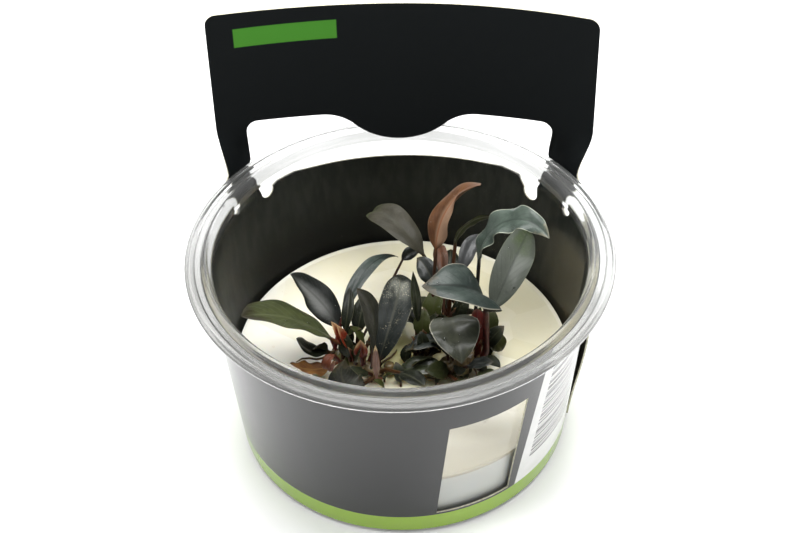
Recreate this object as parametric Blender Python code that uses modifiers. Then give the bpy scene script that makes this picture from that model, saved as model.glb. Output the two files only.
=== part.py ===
"""Bucephalandra plants growing on set gel in a clear culture cup with a card sleeve and hanger header.

Units are metres, +Z is up, and the origin is the middle of the cup's base. The front of the cup
faces -Y. Lengths below are written in millimetres and multiplied by MM.
"""
import math
from dataclasses import dataclass

import bmesh
import bpy
import numpy as np
from mathutils import Vector

MM = 0.001
GAP = 0.3 * MM

# Cup: one clear moulding, a cone with a flanged rim
CUP_HEIGHT = 54.3 * MM
CUP_BASE_RADIUS = 40.3 * MM
CUP_TOP_RADIUS = 44.7 * MM
CUP_WALL = 0.7 * MM
CUP_FLOOR = 1.0 * MM
FLANGE_RADIUS = 50.0 * MM
FLANGE_UNDERSIDE = 52.3 * MM
CUP_SIDES = 56

# Set gel in the bottom of the cup
GEL_SURFACE = 18.8 * MM
GEL_MENISCUS = 0.7 * MM

# Card: one die-cut sheet, sleeve, two arms and the hanger header
CARD_THICKNESS = 0.4 * MM
CARD_PATTERN_RADIUS = 45.0 * MM
CARD_BOTTOM = 1.3 * MM
SLEEVE_TOP = 51.7 * MM
FLARE_START = 47.0 * MM
FLARE_END = 52.0 * MM
ARM_RADIUS = 50.4 * MM
BLEND_START = 53.5 * MM
BLEND_HEIGHT = 12.0 * MM
HEADER_TOP = 95.4 * MM
HEADER_LEFT = -43.7 * MM
HEADER_RIGHT = 47.3 * MM
HEADER_DEPTH = 35.1 * MM
HEADER_LEAN = math.radians(5.0)
HEADER_BEND_LEFT = 200.0 * MM
HEADER_BEND_RIGHT = 132.0 * MM
HEADER_DROP = 0.0165
HAND_WINDOW_TOP = 65.95 * MM
HAND_WINDOW_LEFT = -36.5 * MM
HAND_WINDOW_RIGHT = 37.8 * MM
TONGUE_CENTRE = 0.8 * MM
TONGUE_RADIUS = 16.0 * MM
TONGUE_DEPTH = 7.55 * MM
TONGUE_REACH = 18.9 * MM
BACK_EDGE_LOW = 45.9 * MM
BACK_EDGE_RISE = 2.0 * MM
BACK_EDGE_REACH = 28.0 * MM
SLEEVE_END_OUTER = 98.0
SLEEVE_END_INNER = -274.0
LAP_START = 70.0
LAP_FULL = 82.0
LAP_LIFT = 1.3 * MM

# Plants: creeping stems lying on the gel, and the leaves that rise from them
STEM_RADIUS = 1.8 * MM
STEM_HEIGHT = GEL_SURFACE + GAP + STEM_RADIUS
STALK_WIDTH = 0.9 * MM
STALK_THICKNESS = 0.9 * MM
BLADE_THICKNESS = 0.45 * MM
STALK_ROWS = 3
BLADE_ROWS = 8

CREEPING_STEMS = {
    "left": [(-17.0, -1.5), (-13.0, -4.0), (-8.0, -7.5), (-5.0, -9.5)],
    "middle": [(3.5, -5.0), (6.5, 0.0), (10.0, 5.0), (13.5, 10.5)],
    "right": [(10.0, -9.0), (15.0, -6.0), (19.0, -2.5), (22.5, 1.0)],
}


@dataclass
class Leaf:
    """A stalk and blade. It leaves its stem at a fraction along it and an angle round it.

    Lengths are in millimetres and angles in degrees. Heading is measured from +X towards +Y.
    Arch and turn are the change of rise and heading from the blade's foot to its tip.
    """
    name: str
    along: float
    around: float
    heading: float
    rise: float
    stalk: float
    blade: float
    width: float
    arch: float = 0.0
    turn: float = 0.0
    roll: float = 0.0
    twist: float = 0.0
    fold: float = 12.0
    widest: float = 0.45
    tone: str = "slate"


LEAVES = {
    "left": [
        Leaf("olive_leaf", 0.23, -25, 172, 40, 5.1, 26, 13.3, -13, 50, 25, -30, tone="olive"),
        Leaf("glossy_leaf", 0.21, -71, 125, 44, 6.1, 20.6, 8.1, 19, 100, -21, -12, tone="black_green"),
        Leaf("arching_leaf", 0.03, -1, 64, 48, 8.2, 27.7, 4.0, -96, -16, 16, -24, tone="blue_grey"),
        Leaf("narrow_leaf", 0.24, 34, 69, 65, 6.5, 11.7, 3.0, -69, 24, -1, -3, tone="black_green"),
        Leaf("folded_leaf", 0.80, 5, 55, 76, 4.0, 23.8, 5.1, 46, -28, -70, -28),
        Leaf("broad_slate_leaf", 0.90, -11, 62, 51, 1.3, 30, 8.5, -86, 31, -3, 12),
        Leaf("small_under_leaf", 0.0, 45, 190, 7, 0.5, 10.7, 6.5, 73, 9, 22, -37, tone="black_green"),
        Leaf("dead_leaf", 0.19, 91, 214, 7, 2.8, 11.4, 5.5, 45, -25, -8, 24, tone="dead"),
        Leaf("front_curled_leaf", 0.91, 87, 227, 12, 3.2, 16.1, 8.3, 109, -28, -88, -12),
        Leaf("thread_stalk_leaf", 0.32, -90, 63, 17, 28.8, 6.0, 3.4, -33, -57, 48, 9, tone="blue_grey"),
        Leaf("inner_arching_leaf", 0.39, -49, 58, 50, 13.3, 10, 3.0, -60, -47, -2, 18),
        Leaf("front_low_leaf", 1.0, 0, -50, 29, 8.1, 9.1, 5.0, -30, tone="olive"),
        Leaf("rear_low_leaf", 0.48, -78, 57, 39, 5.5, 11, 5.5, -40, tone="black_green"),
        Leaf("curled_sheath", 0.29, 77, 241, 47, 5.7, 8.5, 2.4, -300, tone="sheath"),
        Leaf("orange_sheath_1", 0.38, 24, 156, 67, 3.3, 6.8, 1.4, 2, 0, -13, 2, tone="sheath"),
        Leaf("orange_sheath_2", 0.47, 21, 160, 66, 3.5, 6.5, 1.6, 8, -2, -9, 0, tone="sheath"),
        Leaf("red_sheath", 0.63, 26, 91, 89, 2.4, 5.0, 2.2, 14, 7, -4, 0, tone="sheath"),
        Leaf("pink_bract", 1.0, 80, 90, 88, 1.0, 10, 1.8, -8, tone="pink"),
    ],
    "middle": [
        Leaf("brown_twisted_leaf", 0.58, -87, 72, 78, 23.6, 25.8, 7.7, -39, -143, 4, -3, tone="brown"),
        Leaf("small_brown_leaf", 0.57, 34, 89, 51, 11.1, 17, 3.9, -106, 11, -34, 19, tone="brown"),
        Leaf("pale_rear_leaf", 1.0, 50, 142, 49, 18.2, 26.7, 8.3, -111, -34, 14, -43, tone="olive"),
        Leaf("dark_rear_leaf", 0.69, -21, 114, 64, 10.0, 8.4, 5.2, -64, 18, -24, -10),
        Leaf("violet_leaf", 0.77, 65, 74, 55, 14.2, 11.3, 4.2, -68, -23, 25, 5, tone="violet"),
        Leaf("edge_on_leaf", 0.90, -20, 18, 86, 23.3, 12.8, 4.7, -114, -1, 123, -12, tone="olive"),
        Leaf("upright_olive_leaf", 0.29, -92, 114, 88, 7.6, 14.4, 2.5, -21, -10, -8, -17, tone="olive"),
        Leaf("shaded_green_leaf", 0.42, -55, 150, 50, 2.5, 9, 4.8, -60, -12, 10, 10, tone="black_green"),
        Leaf("grey_low_leaf", 0.53, 79, 239, 42, 3.6, 11.3, 7.5, -65, -55, -10, 40),
        Leaf("rear_leaf", 1.0, -74, 84, 34, 6.6, 11, 6.0, -40, tone="black_green"),
        Leaf("inner_leaf", 0.48, -86, 142, 26, 5.2, 10, 5.5, -51, -5, 1, 0, tone="black_green"),
    ],
    "right": [
        Leaf("low_front_leaf", 0.0, 23, 176, 16, 0.6, 12.9, 5.7, -63, -1, 3, -25, tone="olive"),
        Leaf("glossy_front_leaf", 0.44, -68, 149, 74, 0.4, 11.7, 11.0, -83, 15, -24, 50, tone="blue_grey"),
        Leaf("broad_blue_leaf", 0.68, 72, 239, 87, 16.4, 23.3, 15, -102, -72, -17, 21, tone="blue_grey"),
        Leaf("wavy_leaf", 0.72, -84, 15, 88, 28.6, 28.6, 7.3, -98, -84, 6, 30, tone="grey_green"),
        Leaf("tall_slate_leaf", 0.84, -27, 51, 59, 8.3, 28.4, 8.8, -94, 28, 22, 6, tone="grey_green"),
        Leaf("round_leaf", 0.74, -25, -14, 47, 1.7, 5.7, 4.4, -124, -12, 12, 12, tone="black_green"),
        Leaf("small_slate_leaf", 0.12, 58, -21, 39, 4.2, 6.7, 4.2, -31, 17, -4, 6),
        Leaf("hidden_front_leaf_1", 0.41, 81, -67, 29, 5.3, 9.0, 5.0, -40, tone="olive"),
        Leaf("hidden_front_leaf_2", 0.02, 79, -70, 33, 5.6, 9.0, 5.0, -35, tone="olive"),
        Leaf("red_stem_sheath", 0.56, 40, 140, 66, 0.6, 11.5, 4.2, -5, widest=0.8, tone="deep_red"),
    ],
}

# Colour, roughness and metallic value of each piece, from the photograph
FINISHES = {
    "clear": ((0.80, 0.82, 0.82), 0.08, 0.0),
    "card": ((0.012, 0.013, 0.014), 0.30, 0.0),
    "gel": ((0.78, 0.74, 0.60), 0.45, 0.0),
    "stem": ((0.13, 0.10, 0.04), 0.60, 0.0),
    "slate": ((0.035, 0.050, 0.050), 0.40, 0.0),
    "black_green": ((0.015, 0.025, 0.018), 0.38, 0.0),
    "blue_grey": ((0.045, 0.075, 0.075), 0.42, 0.0),
    "grey_green": ((0.075, 0.100, 0.080), 0.45, 0.0),
    "olive": ((0.070, 0.080, 0.035), 0.45, 0.0),
    "violet": ((0.080, 0.085, 0.105), 0.45, 0.0),
    "brown": ((0.230, 0.110, 0.065), 0.50, 0.0),
    "pink": ((0.300, 0.120, 0.090), 0.50, 0.0),
    "sheath": ((0.420, 0.100, 0.030), 0.45, 0.0),
    "deep_red": ((0.170, 0.025, 0.018), 0.45, 0.0),
    "dead": ((0.350, 0.130, 0.030), 0.60, 0.0),
}


def clear_scene():
    for obj in list(bpy.data.objects):
        bpy.data.objects.remove(obj, do_unlink=True)


def new_collection(name):
    collection = bpy.data.collections.new(name)
    bpy.context.scene.collection.children.link(collection)
    return collection


def finish(obj, name):
    """Give an object a Principled material of the named finish."""
    colour, roughness, metallic = FINISHES[name]
    material = bpy.data.materials.new(obj.name)
    material.use_nodes = True
    shader = material.node_tree.nodes["Principled BSDF"]
    shader.inputs["Base Color"].default_value = (*colour, 1.0)
    shader.inputs["Roughness"].default_value = roughness
    shader.inputs["Metallic"].default_value = metallic
    obj.data.materials.append(material)


def add_mesh(name, bm, collection):
    mesh = bpy.data.meshes.new(name)
    bm.to_mesh(mesh)
    bm.free()
    obj = bpy.data.objects.new(name, mesh)
    collection.objects.link(obj)
    return obj


def evaluated_mesh(obj):
    graph = bpy.context.evaluated_depsgraph_get()
    return bpy.data.meshes.new_from_object(obj.evaluated_get(graph))


def smooth(t):
    t = min(max(t, 0.0), 1.0)
    return t * t * (3.0 - 2.0 * t)


def cup_radius(z):
    """Outer radius of the cup's wall at a height."""
    return CUP_BASE_RADIUS + (CUP_TOP_RADIUS - CUP_BASE_RADIUS) * z / CUP_HEIGHT


def turned(name, profile, collection, sides=CUP_SIDES):
    """A turned solid: the profile runs out along the inside and down the outer side."""
    bm = bmesh.new()
    points = [bm.verts.new((x, 0.0, z)) for x, z in profile]
    for a, b in zip(points, points[1:]):
        bm.edges.new((a, b))
    obj = add_mesh(name, bm, collection)
    screw = obj.modifiers.new("turn", "SCREW")
    screw.angle = math.tau
    screw.steps = sides
    screw.render_steps = sides
    screw.use_merge_vertices = True
    screw.merge_threshold = 0.00005
    return obj


def make_cup(collection):
    """Clear cup: flat base, conical wall, raised bead, grooved flange with a down-turned edge."""
    inner = CUP_WALL
    profile = [
        (0.0, CUP_FLOOR),
        (38.4 * MM, CUP_FLOOR),
        (cup_radius(2.4 * MM) - inner, 2.4 * MM),
        (cup_radius(52.6 * MM) - inner, 52.6 * MM),
        (44.4 * MM, 54.1 * MM),
        (45.1 * MM, CUP_HEIGHT),
        (45.9 * MM, 54.1 * MM),
        (46.9 * MM, 53.2 * MM),
        (48.0 * MM, 53.6 * MM),
        (48.8 * MM, 53.3 * MM),
        (49.5 * MM, 53.7 * MM),
        (FLANGE_RADIUS, 53.3 * MM),
        (FLANGE_RADIUS - 0.1 * MM, 52.4 * MM),
        (FLANGE_RADIUS - 0.7 * MM, FLANGE_UNDERSIDE),
        (cup_radius(51.8 * MM) + 0.5 * MM, FLANGE_UNDERSIDE),
        (cup_radius(51.4 * MM), 51.4 * MM),
        (cup_radius(1.6 * MM), 1.6 * MM),
        (39.9 * MM, 0.5 * MM),
        (38.8 * MM, 0.0),
        (0.0, 0.0),
    ]
    cup = turned("cup", profile, collection)
    finish(cup, "clear")
    return cup


def make_gel(collection):
    """Set gel: a disc that fills the cup's bottom, drawn up a little at the wall."""
    reach = CUP_WALL + GAP
    bottom = CUP_FLOOR + GAP
    profile = [
        (0.0, GEL_SURFACE),
        (cup_radius(GEL_SURFACE) - reach - 2.5 * MM, GEL_SURFACE),
        (cup_radius(GEL_SURFACE) - reach - 0.8 * MM, GEL_SURFACE + 0.2 * MM),
        (cup_radius(GEL_SURFACE) - reach, GEL_SURFACE + GEL_MENISCUS),
        (cup_radius(3.0 * MM) - reach, 3.0 * MM),
        (37.8 * MM, bottom),
        (0.0, bottom),
    ]
    gel = turned("culture_gel", profile, collection)
    finish(gel, "gel")
    return gel


def pattern_x(degrees):
    """Place in the flat card pattern of an angle round the cup, measured from the middle of its back."""
    return math.radians(degrees) * CARD_PATTERN_RADIUS


def arc(centre, radius, start, end, steps):
    """Points of an arc in the card pattern, with its angles in degrees."""
    points = []
    for i in range(steps + 1):
        angle = math.radians(start + (end - start) * i / steps)
        points.append((centre[0] + radius * math.cos(angle), centre[1] + radius * math.sin(angle)))
    return points


def header_outline():
    """Outer edge of the card, anticlockwise from the sleeve's outer end."""
    outer_end = pattern_x(SLEEVE_END_OUTER)
    inner_end = pattern_x(SLEEVE_END_INNER)
    corner = 2.5 * MM
    points = [(inner_end, CARD_BOTTOM), (outer_end, CARD_BOTTOM), (outer_end, SLEEVE_TOP)]
    points += [(53.7 * MM, SLEEVE_TOP), (53.4 * MM, 48.4 * MM)]
    points += arc((52.0 * MM, 48.4 * MM), 1.4 * MM, -20, -160, 4)
    points += [(49.2 * MM, 49.8 * MM), (HEADER_RIGHT, 53.5 * MM)]
    points += arc((HEADER_RIGHT - corner, HEADER_TOP - corner), corner, 0, 90, 4)
    points += arc((HEADER_LEFT + corner, HEADER_TOP - corner), corner, 90, 180, 4)
    points += [(HEADER_LEFT, 53.5 * MM), (-46.2 * MM, 50.2 * MM)]
    points += arc((-48.9 * MM, 49.2 * MM), 1.4 * MM, -20, -160, 4)
    points += [(-50.9 * MM, SLEEVE_TOP), (inner_end, SLEEVE_TOP)]
    return points


def hand_window_outline():
    """The opening under the header: arms at its sides, a hanging tongue above, the sleeve's edge below."""
    corner = 2.8 * MM
    fillet = 11.4 * MM
    meet = math.degrees(math.asin(TONGUE_REACH / (TONGUE_RADIUS + fillet)))
    tongue = (TONGUE_CENTRE, HAND_WINDOW_TOP - TONGUE_DEPTH + TONGUE_RADIUS)
    fillet_height = HAND_WINDOW_TOP - fillet
    points = [(HAND_WINDOW_LEFT, 53.5 * MM)]
    points += arc((HAND_WINDOW_LEFT + corner, HAND_WINDOW_TOP - corner), corner, 180, 90, 4)
    points += arc((TONGUE_CENTRE - TONGUE_REACH, fillet_height), fillet, 90, 90 - meet, 4)
    points += arc(tongue, TONGUE_RADIUS, -90 - meet, -90 + meet, 8)[1:]
    points += arc((TONGUE_CENTRE + TONGUE_REACH, fillet_height), fillet, 90 + meet, 90, 4)[1:]
    points += arc((HAND_WINDOW_RIGHT - corner, HAND_WINDOW_TOP - corner), corner, 90, 0, 4)
    points += [(HAND_WINDOW_RIGHT, 53.5 * MM), (39.6 * MM, 49.2 * MM)]
    points += arc((38.0 * MM, 45.1 * MM), 2.3 * MM, 10, -190, 6)
    for i in range(7):
        x = BACK_EDGE_REACH * (1.0 - i / 3.0) * 1.2
        points.append((x, BACK_EDGE_LOW + BACK_EDGE_RISE * min((x / BACK_EDGE_REACH) ** 2, 1.0)))
    points += arc((-37.2 * MM, 47.2 * MM), 2.0 * MM, 10, -190, 6)
    points += [(-38.5 * MM, 50.0 * MM)]
    return points


def front_window_outline():
    """The slanted window in the front of the sleeve, given by its angles from the cup's front."""
    corners = [(12.9, 39.0), (9.6, 7.3), (35.4, 7.3), (38.8, 39.0)]
    return [(pattern_x(-180.0 - angle), height * MM) for angle, height in corners]


def card_outline(cutters):
    """Flat outline of the card with its two windows, as a filled and extruded 2D curve."""
    curve = bpy.data.curves.new("card_outline", "CURVE")
    curve.dimensions = "2D"
    curve.fill_mode = "BOTH"
    curve.extrude = 2.0 * MM
    for outline in (header_outline(), hand_window_outline(), front_window_outline()):
        spline = curve.splines.new("POLY")
        spline.points.add(len(outline) - 1)
        for point, (x, y) in zip(spline.points, outline):
            point.co = (x, y, 0.0, 1.0)
        spline.use_cyclic_u = True
    flat = bpy.data.objects.new("card_outline_curve", curve)
    cutters.objects.link(flat)
    bpy.context.view_layer.update()
    mesh = evaluated_mesh(flat)
    bpy.data.objects.remove(flat)
    bm = bmesh.new()
    bm.from_mesh(mesh)
    bmesh.ops.remove_doubles(bm, verts=bm.verts, dist=0.00001)
    bmesh.ops.recalc_face_normals(bm, faces=bm.faces)
    cutter = add_mesh("card_outline", bm, cutters)
    cutter.hide_render = True
    cutter.display_type = "WIRE"
    return cutter


def card_blank(collection):
    """Flat blank, ruled in columns and rows where the card will bend."""
    rows = [0.0, 47.0, 49.5, 52.0, 55.0, 58.5, 62.0, 66.4, 98.0]
    columns = 74
    left, right = pattern_x(SLEEVE_END_INNER) - 2.0 * MM, pattern_x(SLEEVE_END_OUTER) + 2.0 * MM
    bm = bmesh.new()
    bmesh.ops.create_grid(bm, x_segments=columns, y_segments=len(rows) - 1, size=0.5)
    last = len(rows) - 1
    for vert in bm.verts:
        row = round((vert.co.y + 0.5) * last)
        vert.co = (left + (right - left) * (vert.co.x + 0.5), rows[row] * MM, 0.0)
    blank = add_mesh("carton", bm, collection)
    shell = blank.modifiers.new("thickness", "SOLIDIFY")
    shell.thickness = CARD_THICKNESS
    shell.offset = 1.0
    return blank


def lap_offset(degrees, height):
    """How far the sleeve's outer end stands off, over its inner end and loose at its edge."""
    lapped = smooth((degrees - LAP_START) / (LAP_FULL - LAP_START))
    loose = smooth((degrees - LAP_FULL) / (SLEEVE_END_OUTER - LAP_FULL))
    middle = math.sin(math.pi * min(max((height - CARD_BOTTOM) / (SLEEVE_TOP - CARD_BOTTOM), 0.0), 1.0))
    return (CARD_THICKNESS + GAP) * lapped + LAP_LIFT * loose * middle ** 2


def bend_card(x, height, lift):
    """Bend a point of the flat card: a cone below the rim, flared arms, then the leaning header."""
    angle = x / CARD_PATTERN_RADIUS
    degrees = math.degrees(angle)
    radius = cup_radius(min(height, FLARE_START)) + GAP
    if height > FLARE_START and abs(x) > 50.5 * MM:
        radius = cup_radius(height) + GAP
    elif height > FLARE_START:
        radius += (ARM_RADIUS - radius) * smooth((height - FLARE_START) / (FLARE_END - FLARE_START))
    radius += lap_offset(degrees, height) + lift
    foot = (radius * math.sin(angle), radius * math.cos(angle))
    rise = height - BLEND_START
    bend = HEADER_BEND_LEFT if x < 0.0 else HEADER_BEND_RIGHT
    head = (x, HEADER_DEPTH + math.tan(HEADER_LEAN) * rise - x * x / (2.0 * bend) + lift)
    arm = smooth((abs(x) - 30.0 * MM) / (6.0 * MM))
    risen = smooth(rise / BLEND_HEIGHT)
    share = 1.0 - arm * (1.0 - risen) if rise > 0.0 else 0.0
    z = height - HEADER_DROP * x * risen
    return Vector((foot[0] + (head[0] - foot[0]) * share, foot[1] + (head[1] - foot[1]) * share, z))


def make_carton(collection, cutters):
    """Die-cut card: cut flat from its blank, then bent round the cup."""
    blank = card_blank(collection)
    cut = blank.modifiers.new("die_cut", "BOOLEAN")
    cut.operation = "INTERSECT"
    cut.solver = "EXACT"
    cut.object = card_outline(cutters)
    bpy.context.view_layer.update()
    mesh = evaluated_mesh(blank)
    bm = bmesh.new()
    bm.from_mesh(mesh)
    bmesh.ops.triangulate(bm, faces=bm.faces)
    bmesh.ops.recalc_face_normals(bm, faces=bm.faces)
    for vert in bm.verts:
        vert.co = bend_card(vert.co.x, vert.co.y, vert.co.z)
    bmesh.ops.reverse_faces(bm, faces=bm.faces)
    bpy.data.objects.remove(blank)
    carton = add_mesh("carton", bm, collection)
    finish(carton, "card")
    return carton


def stem_point(plant, along):
    """Point and direction on a creeping stem's axis at a fraction along it."""
    points = [Vector((x * MM, y * MM, STEM_HEIGHT)) for x, y in CREEPING_STEMS[plant]]
    lengths = [(b - a).length for a, b in zip(points, points[1:])]
    rest = along * sum(lengths)
    for start, end, length in zip(points, points[1:], lengths):
        if rest <= length or end is points[-1]:
            return start.lerp(end, min(rest / length, 1.0)), (end - start).normalized()
        rest -= length


def make_stem(plant, collection):
    """Creeping stem: a thick ringed curve with tapered ends, lying on the gel."""
    curve = bpy.data.curves.new(plant + "_stem", "CURVE")
    curve.dimensions = "3D"
    curve.bevel_depth = STEM_RADIUS
    curve.bevel_resolution = 1
    curve.use_fill_caps = True
    spline = curve.splines.new("POLY")
    count = 9
    spline.points.add(count - 1)
    for i, point in enumerate(spline.points):
        place, _ = stem_point(plant, i / (count - 1))
        end = min(i, count - 1 - i)
        point.co = (*place, 1.0)
        point.radius = (0.55, 0.92)[end] if end < 2 else (0.86 if i % 2 else 1.0)
    obj = bpy.data.objects.new(plant + "_creeping_stem", curve)
    collection.objects.link(obj)
    finish(obj, "stem")
    return obj


def leaf_foot(plant, leaf):
    """Where a leaf leaves its stem, a small gap clear of the stem's surface."""
    place, direction = stem_point(plant, leaf.along)
    side = Vector((direction.y, -direction.x, 0.0))
    angle = math.radians(leaf.around)
    outward = Vector((0.0, 0.0, math.cos(angle))) + side * math.sin(angle)
    leaning = outward.cross(leaf_frame(leaf, -1.0)[0]).length
    return place + outward * (STEM_RADIUS + GAP + STALK_WIDTH / 2 * leaning)


def leaf_frame(leaf, s):
    """Direction, side and face direction of a leaf at s, from -1 at its foot to 1 at its tip."""
    blade = max(s, 0.0)
    rise = math.radians(leaf.rise + leaf.arch * blade)
    heading = math.radians(leaf.heading + leaf.turn * blade)
    roll = math.radians(leaf.roll + leaf.twist * blade)
    along = Vector((math.cos(rise) * math.cos(heading), math.cos(rise) * math.sin(heading), math.sin(rise)))
    side = Vector((-math.sin(heading), math.cos(heading), 0.0))
    face = along.cross(side)
    return along, side * math.cos(roll) + face * math.sin(roll), face * math.cos(roll) - side * math.sin(roll)


def half_width(leaf, s):
    """Half the width of stalk or blade at s: the blade swells to its widest place and comes to a point."""
    if s <= 0.0:
        return STALK_WIDTH / 2
    t = min(max(s, 0.001), 0.999)
    fullness = 1.5
    shape = (t / leaf.widest) ** (leaf.widest * fullness)
    shape *= ((1 - t) / (1 - leaf.widest)) ** ((1 - leaf.widest) * fullness)
    return max(leaf.width * MM / 2 * shape, 0.2 * MM)


def leaf_spine(plant, leaf, steps=24):
    """Points along the middle of a leaf, keyed by row, found by walking along its direction."""
    point = leaf_foot(plant, leaf)
    spine = {-STALK_ROWS: point.copy()}
    for rows, length, first in ((STALK_ROWS, leaf.stalk, -1.0), (BLADE_ROWS, leaf.blade, 0.0)):
        per_row = steps // rows
        count = per_row * rows
        for i in range(count):
            along, _, _ = leaf_frame(leaf, first + (i + 0.5) / count)
            point += along * (length * MM / count)
            if (i + 1) % per_row == 0:
                spine[(i + 1) // per_row - (STALK_ROWS if first < 0.0 else 0)] = point.copy()
    return spine


def make_leaf(plant, leaf, collection):
    """A leaf: a grid laid along the leaf's spine, folded a little at its midrib and thickened."""
    spine = leaf_spine(plant, leaf)
    rows = STALK_ROWS + BLADE_ROWS
    bm = bmesh.new()
    bmesh.ops.create_grid(bm, x_segments=2, y_segments=rows, size=0.5)
    weights = []
    for vert in bm.verts:
        across = round(vert.co.x * 2.0)
        row = round((vert.co.y + 0.5) * rows) - STALK_ROWS
        s = row / STALK_ROWS if row < 0 else row / BLADE_ROWS
        _, side, face = leaf_frame(leaf, s)
        fold = math.radians(leaf.fold) if s > 0.0 else 0.0
        reach = half_width(leaf, s)
        vert.co = spine[row] + (side * across * math.cos(fold) + face * abs(across) * math.sin(fold)) * reach
        weights.append(1.0 if s <= 0.0 else BLADE_THICKNESS / STALK_THICKNESS)
    obj = add_mesh(leaf.name, bm, collection)
    group = obj.vertex_groups.new(name="thickness")
    for index, weight in enumerate(weights):
        group.add([index], weight, "REPLACE")
    shell = obj.modifiers.new("thickness", "SOLIDIFY")
    shell.thickness = STALK_THICKNESS
    shell.offset = 0.0
    shell.vertex_group = "thickness"
    finish(obj, leaf.tone)
    return obj


def round_shade(obj, angle=35.0):
    if obj.type == "MESH":
        obj.data.shade_smooth()
        obj.data.set_sharp_from_angle(angle=math.radians(angle))


def main():
    clear_scene()
    parts = new_collection("bucephalandra_cup")
    cutters = new_collection("cutters")
    pieces = [make_cup(parts), make_gel(parts), make_carton(parts, cutters)]
    for plant, leaves in LEAVES.items():
        pieces.append(make_stem(plant, parts))
        for leaf in leaves:
            pieces.append(make_leaf(plant, leaf, parts))
    for piece in pieces:
        round_shade(piece)


main()
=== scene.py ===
import math
from dataclasses import dataclass

import bmesh
import bpy
import numpy as np
from mathutils import Matrix, Vector
from mathutils.geometry import delaunay_2d_cdt


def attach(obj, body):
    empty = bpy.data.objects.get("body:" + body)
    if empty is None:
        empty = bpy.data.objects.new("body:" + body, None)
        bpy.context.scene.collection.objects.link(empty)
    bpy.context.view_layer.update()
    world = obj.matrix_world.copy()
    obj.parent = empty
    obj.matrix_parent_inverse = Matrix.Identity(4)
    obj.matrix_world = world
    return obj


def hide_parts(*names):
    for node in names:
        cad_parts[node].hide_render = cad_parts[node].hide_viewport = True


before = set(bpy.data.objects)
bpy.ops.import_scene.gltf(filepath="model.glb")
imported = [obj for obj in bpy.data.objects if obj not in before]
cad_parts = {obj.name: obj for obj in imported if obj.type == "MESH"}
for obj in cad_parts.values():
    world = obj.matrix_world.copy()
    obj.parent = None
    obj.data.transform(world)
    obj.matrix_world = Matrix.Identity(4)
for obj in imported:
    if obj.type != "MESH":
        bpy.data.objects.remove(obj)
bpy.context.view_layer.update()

MM = 0.001

# sizes, in millimetres
DECIMETRE = 100.0
GAP = 0.3
CUP_HEIGHT = 54.3
CUP_BASE_RADIUS = 40.3
CUP_TOP_RADIUS = 44.7
CUP_WALL, CUP_FLOOR = 0.7, 1.0
CUP_SIDES = 224
RIM_START = 51.0
FOOT_HEIGHT, FOOT_RADIUS = 1.5, 38.6
GEL_SURFACE = 18.8
GEL_CLEARANCE = 0.04

CARD_THICKNESS = 0.4
CARD_PATTERN_RADIUS = 45.0
CARD_BOTTOM = 1.3
SLEEVE_TOP = 51.7
FLARE_START, FLARE_END = 47.0, 52.0
ARM_RADIUS, ARM_END = 50.4, 50.5
HEADER_FOOT, HEADER_TOP = 53.5, 95.4
BLEND_START, BLEND_HEIGHT = HEADER_FOOT, 12.0
HEADER_LEFT, HEADER_RIGHT = -43.7, 47.3
HEADER_CORNER = 2.5
HEADER_DEPTH = 35.1
HEADER_FLAT, HEADER_TURN = 30.0, 6.0
HEADER_LEAN = math.radians(5.0)
HEADER_BEND_LEFT, HEADER_BEND_RIGHT = 200.0, 132.0
HEADER_DROP = 0.0165
HAND_WINDOW_TOP = 65.95
HAND_WINDOW_LEFT, HAND_WINDOW_RIGHT = -36.5, 37.8
HAND_WINDOW_CORNER, HAND_WINDOW_FILLET = 2.8, 11.4
TONGUE_CENTRE, TONGUE_RADIUS, TONGUE_DEPTH, TONGUE_REACH = 0.8, 16.0, 7.55, 18.9
ARM_NOTCH_LEFT, ARM_NOTCH_RIGHT, ARM_NOTCH_RADIUS = (-48.9, 49.2), (52.0, 48.4), 1.4
BACK_EDGE_LOW, BACK_EDGE_RISE, BACK_EDGE_REACH, BACK_EDGE_END = 45.9, 2.0, 28.0, 33.6
SLEEVE_END_OUTER, SLEEVE_END_INNER = 98.0, -274.0
LAP_START, LAP_FULL, LAP_LIFT = 70.0, 82.0, 1.3
CARD_EDGE_STEP, CARD_COLUMN_START, CARD_COLUMN_STEP = 1.6, 0.9, 1.7
CARD_POINT_GAP_SQUARED = 0.5
# the front window's corners: degrees round the cup past the front, and height
FRONT_WINDOW = [(12.9, 39.0), (9.6, 7.3), (35.4, 7.3), (38.8, 39.0)]

STEM_RADIUS = 1.8
STEM_HEIGHT = GEL_SURFACE + GAP + STEM_RADIUS
STEM_CLEARANCE, STEM_RINGS = 0.05, 7.0
STALK_WIDTH = 0.9
ROOT_DEPTH, ROOT_BACK = 1.3, 0.3
BLADE_HALF_THICKNESS, LEAST_HALF_WIDTH = 0.14, 0.10
RIB_REACH, RIB_ABOVE, RIB_BELOW = 0.42, 0.10, 0.30

# each plant's creeping stem, seen from above
CREEPING_STEMS = {
    "left": [(-17.0, -1.5), (-13.0, -4.0), (-8.0, -7.5), (-5.0, -9.5)],
    "middle": [(3.5, -5.0), (6.5, 0.0), (10.0, 5.0), (13.5, 10.5)],
    "right": [(10.0, -9.0), (15.0, -6.0), (19.0, -2.5), (22.5, 1.0)],
}

# worn upright ends of old stem: foot, top and radius
OLD_STUBS = {
    "left": [((-3.1, -7.6, 19.6), (-3.4, -7.0, 22.6), 1.3)],
    "middle": [((6.2, -2.2, 19.6), (6.4, -1.6, 24.0), 1.3)],
    "right": [((14.3, -8.3, 19.4), (14.45, -7.5, 24.6), 1.75),
              ((10.7, -7.0, 19.4), (10.6, -6.4, 23.0), 1.5)],
}

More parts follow.
